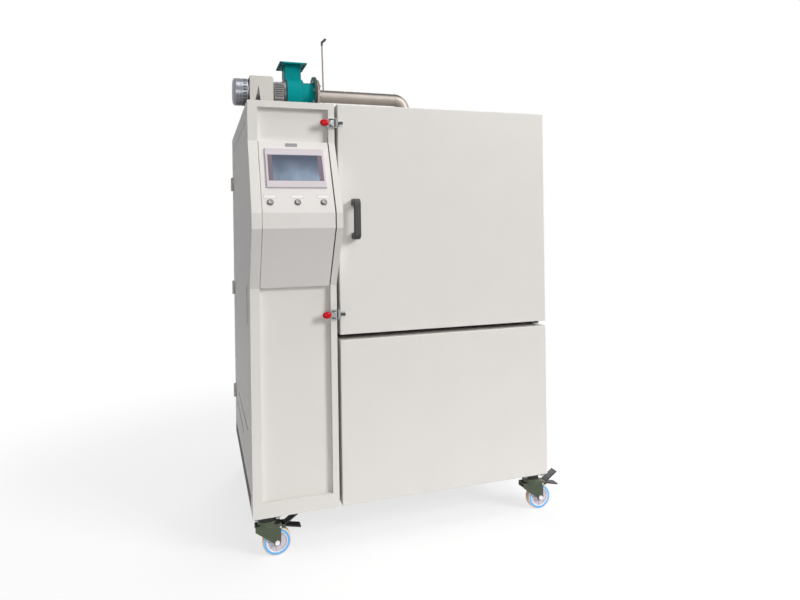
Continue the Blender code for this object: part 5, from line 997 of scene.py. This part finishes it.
# %% Flange, collar and gasket of the pipe
PIPE_FLANGE = [(29, -296), (75.6, -296), (76.4, -295.2), (76.4, -291), (75.6, -290.2),
               (29, -290.2)]
PIPE_COLLAR = [(30.3, 0), (46, 0), (46, 3.2), (45.2, 4), (30.3, 4)]
PIPE_GASKET = [(33, -302.2), (76.9, -302.2), (77, -301.8), (77, -296.4), (76.6, -296), (33, -296)]
finish("fibre_gasket", (196, 178, 156), (178, 158, 136), rough=0.9, patch=70, grain=500,
       relief=0.6, depth=0.4 * MM, shader={"Specular IOR Level": 0.1})
beads = [on_fan_axis(bead(PIPE_RADIUS + 0.3 * MM, 0.9 * MM), x) for x in (-288.6 * MM, ELBOW_X)]
beads += [aim(bead(PIPE_RADIUS + 0.3 * MM, 0.9 * MM), (DOWN_X, FAN_Y, z))
          for z in (ELBOW_Z, ROOF_Z + 4.8 * MM)]
flange = on_fan_axis(lathe(PIPE_FLANGE, 84, closed=True))
collar = aim(lathe(PIPE_COLLAR, 56, closed=True), (DOWN_X, FAN_Y, ROOF_Z))
detail("pipe_run", [pipe, flange, collar] + beads, "stainless_pipe", "cabinet", ["exhaust_pipe"])
detail("pipe_gasket", [on_fan_axis(lathe(PIPE_GASKET, 84, closed=True))], "gasket_rope",
       "cabinet", look="fibre_gasket")
nuts = around(8, 68 * MM, lambda: hex_head(10 * MM, 5 * MM, 1.2 * MM), 0.2)
collar_screws = around(4, 39 * MM, lambda: round_head(2.8 * MM, 2.0 * MM), 0.4)
detail("pipe_bolts", [on_fan_axis(nuts, -290.2 * MM),
                      aim(collar_screws, (DOWN_X, FAN_Y, ROOF_Z + 4 * MM))],
       "bright_steel", "cabinet", look="zinc_plate")
print("beads", len(beads))

# %% [markdown]
# The vent is a slim tube that leans a little and has a black elbow cap. A cord between two
# points makes it, and it stands in a small turned collar on the roof.

# %% Vent tube
VENT_TALL, VENT_RADIUS, VENT_LEAN = 0.470, 4 * MM, 8 * MM
VENT_COLLAR = [(3.5, 0), (12, 0), (12, 3.2), (11.2, 4), (6, 4.4), (4, 7), (3.5, 7)]
VENT_CAP = [(0, -6), (4.4, -5), (6.4, 0), (6.4, 12), (5.6, 13), (6.4, 14), (6.4, 27), (5.4, 28),
            (4.2, 28), (4.2, 18), (0, 18)]
vent_foot = Vector((-0.219019, 0.258, ROOF_Z))
vent_head = Vector((-0.219019 - VENT_LEAN, 0.258, ROOF_Z + VENT_TALL))
finish("dull_steel", (150, 138, 127), (138, 126, 115), rough=0.5, spread=0.05, patch=20,
       grain=300, relief=0.03, shader={"Metallic": 0.3})
detail("vent_pipe", [cord([vent_foot, vent_head], VENT_RADIUS, resolution=6),
                     aim(lathe(VENT_COLLAR, 36, closed=True), vent_foot)],
       "stainless_pipe", "cabinet", ["vent_tube"], "dull_steel")
sleeve = cord([vent_head - Vector((0, 0, 16 * MM)), vent_head], 5.6 * MM, resolution=6)
detail("vent_cap", [sleeve, aim(lathe(VENT_CAP, 32), vent_head, (1, 0, 1))], "black_plastic",
       "cabinet")
print("vent", VENT_TALL, "m tall")

# %% [markdown]
# Behind the door the chamber is lined with fibre boards, laid with open joints so that they can
# swell. Each slab of the frame is therefore split into boards along one axis. Lines in a
# material would be cheaper, but real joints have depth where the light grazes the wall.

# %% Chamber lining
BOARDS = {"lining_left": (2, 4), "lining_right": (2, 4), "lining_rear": (2, 4),
          "lining_roof": (1, 5), "lining_floor": (1, 5)}
BOARD_JOINT = 0.8 * MM
for node, (axis, count) in BOARDS.items():
    low, high = (Vector(corner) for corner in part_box(node))
    tall = (high[axis] - low[axis] + BOARD_JOINT) / count
    boards = []
    for number in range(count):
        start, end = low.copy(), high.copy()
        start[axis] = low[axis] + tall * number
        end[axis] = start[axis] + tall - BOARD_JOINT
        boards.append(slab(start, end, 1.6 * MM, 3))
    detail(node + "_boards", boards, SLOT_OF[node], BODY_OF[node], [node])
    print(node, count, "boards")

# %% [markdown]
# The heating rods run to and fro along the side walls on ceramic pegs and leave through ceramic
# sleeves in the rear wall. Each rod is one cord along a folded route. The probe's sheath is
# turned, with a wider head at the rear.

# %% Heating rods and probe
ROD_FRONT, ROD_BACK, ROD_FOOT, ROD_STEP, ROD_RUNS = -0.2539, 0.3445, 1.1, 0.08, 6
ROD_BEND, ROD_HEAD = 0.04, ROD_FOOT + ROD_STEP * (ROD_RUNS - 1)
CHAMBER_WALLS = {"left": (-0.158, 1), "right": (0.442, -1)}
PEG = [(0, 0), (4, 0), (4, 13), (6.5, 13.5), (6.5, 16), (0, 16.5)]
SLEEVE = [(6.1, 0), (9.5, 0), (9.5, 94.5), (6.1, 94.5)]
PROBE = [(0, 0), (14, 0), (14, 9), (13, 10), (8, 10), (7, 11), (7, 119), (5, 122.4), (0, 123.4)]
for side, (wall, inward) in CHAMBER_WALLS.items():
    x = wall + inward * 6.3 * MM
    route = [(x, ROD_BACK, ROD_FOOT)]
    for run in range(ROD_RUNS - 1):
        height = ROD_FOOT + ROD_STEP * run
        end = ROD_BACK + ROD_BEND if run % 2 else ROD_FRONT - ROD_BEND
        route += [(x, end, height), (x, end, height + ROD_STEP)]
    route.append((x, ROD_BACK, ROD_HEAD))
    rod = cord(bent(route, 0.0395, 10), 5.9 * MM, resolution=4)
    detail(f"heating_rod_{side}", [rod], "element_metal", "cabinet", [f"heating_element_{side}"])
    pegs = [aim(lathe(PEG, 16), (wall, y, ROD_FOOT + ROD_STEP * run - 10 * MM), (inward, 0, 0))
            for run in range(ROD_RUNS) for y in (-0.22, 0.045, 0.31)]
    sleeves = [aim(lathe(SLEEVE, 20, closed=True), (x + inward * 3.6 * MM, ROD_BACK, height),
                   (0, 1, 0)) for height in (ROD_FOOT, ROD_HEAD)]
    detail(f"ceramic_pegs_{side}", pegs + sleeves, "hearth_ceramic", "cabinet")
probe_low, probe_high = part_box("thermocouple")
probe_place = (0.142, probe_high.y, (probe_low.z + probe_high.z) / 2)
detail("probe_sheath", [aim(lathe(PROBE, 32), probe_place, (0, -1, 0))], "hearth_ceramic",
       "cabinet", ["thermocouple"])
dressed("hearth_plate", 2.0 * MM, segments=3)
print("heating made")

# %% [markdown]
# The door's inner side carries the insulating plug and a braided rope gasket. The rope is a
# cord laid in a rectangle and pressed flat, and short strands wound round it make the braid.

# %% Door gasket and plug
ROPE_HALF, STRAND_STEP, STRAND_SKEW = 15 * MM, 13 * MM, 6 * MM
rope_low, rope_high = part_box("door_gasket")
rope_y = (rope_low.y + rope_high.y) / 2
left, right = rope_low.x + ROPE_HALF, rope_high.x - ROPE_HALF
bottom, top = rope_low.z + ROPE_HALF, rope_high.z - ROPE_HALF
corners = [Vector(corner) for corner in ((left, 0, bottom), (right, 0, bottom), (right, 0, top),
                                         (left, 0, top))]
rope = cord(bent(corners, 0.02, 6, closed=True), ROPE_HALF - 0.6 * MM, closed=True, resolution=5)
strands = []
for corner, following in zip(corners, corners[1:] + corners[:1]):
    onward = following - corner
    count = int(onward.length / STRAND_STEP)
    half = Vector((onward.z, 0, -onward.x)).normalized() * (ROPE_HALF - 1.4 * MM)
    half += onward.normalized() * STRAND_SKEW
    for step in range(1, count):
        centre = corner + onward * (step / count) + Vector((0, ROPE_HALF, 0)) * 0.9
        strand = slab((-1.9 * MM, 0, 0), (1.9 * MM, 1 * MM, half.length * 2), 0.9 * MM, 1)
        strands.append(aim(strand, centre - half, half))
whole = gather([rope] + strands)
flatter = (rope_high.y - rope_low.y) / 2 / (ROPE_HALF + 1 * MM)
bmesh.ops.scale(whole, vec=(1, flatter, 1), verts=whole.verts)
bmesh.ops.translate(whole, vec=(0, rope_y, 0), verts=whole.verts)
detail("rope_gasket", [whole], "gasket_rope", "furnace_door", ["door_gasket"])
dressed("door_insulation", 3.0 * MM, segments=3)
plate_screws = screws(4 * MM, 1.8 * MM, [(x, -0.404, z) for x in (-0.3, 0.585)
                                         for z in (0.93, 1.15, 1.45, 1.66)], (0, -1, 0))
detail("front_plate_screws", plate_screws, "dark_steel", "cabinet", look="black_steel")
print("gasket", len(strands), "strands")

# %% [markdown]
# The switchgear stands on its plate behind the service door. From the bottom up there are
# contactors, power supplies, breakers with their levers and relays with finned coolers. Every
# row could be its own model, but all such units are stepped blocks with screw terminals, set
# side by side along Y, so one helper makes the four rows from their sizes.

# %% Finishes and forms of the control gear
finish("gear_plate", (186, 186, 182), (170, 171, 168), rough=0.4, patch=10, grain=600,
       relief=0.1, shader={"Metallic": 0.6})
finish("gear_pale", (206, 205, 199), (194, 193, 187), rough=0.5, grain=900, relief=0.1)
finish("gear_dark", (52, 54, 58), (42, 44, 47), rough=0.5, grain=900, relief=0.15)
finish("duct_grey", (150, 153, 157), (141, 144, 148), rough=0.55, grain=900, relief=0.1)
finish("wire_red", (150, 34, 28), (132, 28, 24), rough=0.45, grain=900, relief=0.05)
finish("wire_blue", (36, 66, 128), (30, 56, 112), rough=0.45, grain=900, relief=0.05)
gear_low, gear_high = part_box("control_gear")
PLATE_X = gear_high.x - 2 * MM
GEAR_START, GEAR_WIDE, UNIT_STEP, UNIT_GAP = -0.212, 0.348 + 0.212, 0.62, 1.5 * MM


def from_plate(out, y, z):
    """A point so far out from the mounting plate."""
    return (PLATE_X - out, y, z)


def units(low, high, deep, count):
    """A row of equal units: a full-depth middle between two lower terminal steps."""
    forms, width, third = [], GEAR_WIDE / count, (high - low) * 0.27
    for number in range(count):
        start = GEAR_START + width * number + UNIT_GAP / 2
        end = GEAR_START + width * (number + 1) - UNIT_GAP / 2
        forms.append(slab(from_plate(deep * UNIT_STEP, start, low), from_plate(0, end, high),
                          0.8 * MM))
        forms.append(slab(from_plate(deep, start + 0.4 * MM, low + third),
                          from_plate(deep * UNIT_STEP - 1 * MM, end - 0.4 * MM, high - third),
                          1.0 * MM))
    return forms


def terminals(low, high, deep, count):
    """Two screw heads on each unit's lower and upper step."""
    width = GEAR_WIDE / count
    return screws(3.2 * MM, 1.6 * MM,
                  [from_plate(deep * UNIT_STEP, GEAR_START + width * (number + share), z)
                   for number in range(count) for share in (0.3, 0.7)
                   for z in (low + 9 * MM, high - 9 * MM)], (-1, 0, 0))


print("mounting plate at", round(PLATE_X, 4))

# %% Control gear
GEAR_ROWS = ((0.486, 0.662, 0.066, 10, "gear_dark"), (0.752, 0.858, 0.083, 6, "gear_pale"),
             (0.972, 1.111, 0.058, 16, "gear_pale"), (1.236, 1.430, 0.075, 5, "gear_dark"))
BREAKER_WIDE, RELAY_WIDE, FIN_STEP = 0.035, 0.112, 9 * MM
detail("gear_plate", [slab((PLATE_X, gear_low.y, gear_low.z), gear_high, 0.4 * MM)],
       "gear_plastic", "cabinet", ["control_gear"], "gear_plate")
for number, (low, high, deep, count, colour) in enumerate(GEAR_ROWS, start=1):
    detail(f"gear_row_{number}", units(low, high, deep, count), "gear_plastic", "cabinet",
           look=colour)
    detail(f"gear_terminals_{number}", terminals(low, high, deep, count), "bright_steel",
           "cabinet", look="zinc_plate")
levers = [slab(from_plate(66 * MM, GEAR_START + BREAKER_WIDE * (number + 0.28), 1.03),
               from_plate(57 * MM, GEAR_START + BREAKER_WIDE * (number + 0.72), 1.052), 0.8 * MM)
          for number in range(16)]
detail("breaker_levers", levers, "gear_plastic", "cabinet", look="gear_dark")
fins = [slab(from_plate(77.5 * MM, -0.206 + RELAY_WIDE * unit + FIN_STEP * fin, 1.292),
             from_plate(74 * MM, -0.203 + RELAY_WIDE * unit + FIN_STEP * fin, 1.374), 0.4 * MM, 1)
        for unit in range(5) for fin in range(12)]
detail("relay_coolers", fins, "gear_plastic", "cabinet", look="gear_plate")
print("gear rows", len(GEAR_ROWS))

# %% [markdown]
# Slotted ducts carry the wires between the rows. A duct is a block with teeth standing a little
# proud of it, which is lighter than cutting 49 slots. Short leads in three colours bow out of
# the ducts to the row above.

# %% Wire ducts and leads
DUCT_FEET, DUCT_TALL, TOOTH_STEP = (0.686, 0.886, 1.15, 1.456), 38 * MM, 12 * MM
WIRE_Y = (-0.19, -0.075, 0.04, 0.155, 0.27)
WIRE_ENDS = ((0.72, 0.756), (0.92, 0.976), (1.19, 1.24))
WIRES = (("wire_red", 0.0, 0.0), ("wire_blue", 9 * MM, 0.004), ("black_plastic", 18 * MM, 0.008))
ducts = []
for foot in DUCT_FEET:
    ducts.append(slab(from_plate(52 * MM, -0.232, foot), from_plate(0, 0.368, foot + DUCT_TALL),
                      0.6 * MM))
    ducts += [slab(from_plate(47 * MM, -0.224 + TOOTH_STEP * tooth, foot - 0.5 * MM),
                   from_plate(4 * MM, -0.218 + TOOTH_STEP * tooth, foot + DUCT_TALL + 0.5 * MM),
                   0, 1) for tooth in range(49)]
detail("wire_ducts", ducts, "gear_plastic", "cabinet", look="duct_grey")
for look, shift, offset in WIRES:
    wires = []
    for y in WIRE_Y:
        for start, end in WIRE_ENDS:
            out = 50 * MM + offset
            route = [from_plate(20 * MM, y + shift, start),
                     from_plate(out, y + shift, start + 10 * MM),
                     from_plate(out, y + shift, end - 14 * MM),
                     from_plate(30 * MM, y + shift, end)]
            wires.append(cord(bent(route, 0.012), 1.6 * MM))
    detail("gear_" + look + "_leads", wires, "gear_plastic", "cabinet", look=look)
print("ducts", len(DUCT_FEET))

# %% [markdown]
# Small button-head screws hold the right side, the rear panel and the roof's skirt. They stand
# in rows a hand's breadth from the corners, as a sheet-metal shop sets them.

# %% Cabinet screws
LEFT_X, RIGHT_X, REAR_Y, SKIRT_Z = -0.665, 0.615, 0.618, 1.742
SCREW_ROWS = [
    ((1, 0, 0), [(RIGHT_X, y, z) for y in (-0.38, 0.105, 0.59)
                 for z in (0.27, 0.62, 0.97, 1.32, 1.66)]),
    ((0, 1, 0), [(x, REAR_Y, z) for x in (-0.58, -0.02, 0.585) for z in (0.26, 0.75, 1.2, 1.66)]),
    ((-1, 0, 0), [(LEFT_X, y, SKIRT_Z) for y in (-0.33, 0.105, 0.54)]),
    ((1, 0, 0), [(RIGHT_X, y, SKIRT_Z) for y in (-0.33, 0.105, 0.54)]),
    ((0, 1, 0), [(x, REAR_Y, SKIRT_Z) for x in (-0.58, -0.2, 0.2, 0.54)])]
heads = [head for direction, places in SCREW_ROWS
         for head in screws(3.6 * MM, 1.5 * MM, places, direction)]
detail("cabinet_screws", heads, "bright_steel", "cabinet", look="zinc_plate")
print("cabinet screws", len(heads))

# %% [markdown]
# What is left is right in shape as it stands in the frame and only needs its edges rounded.

# %% The remaining solids
for node in [node for node in frame["nodes"] if not frame["nodes"][node].hide_render]:
    if node not in SHEETS:
        made = dressed(node, 0.6 * MM)
        print(node, SLOT_OF[node], len(made.data.polygons))
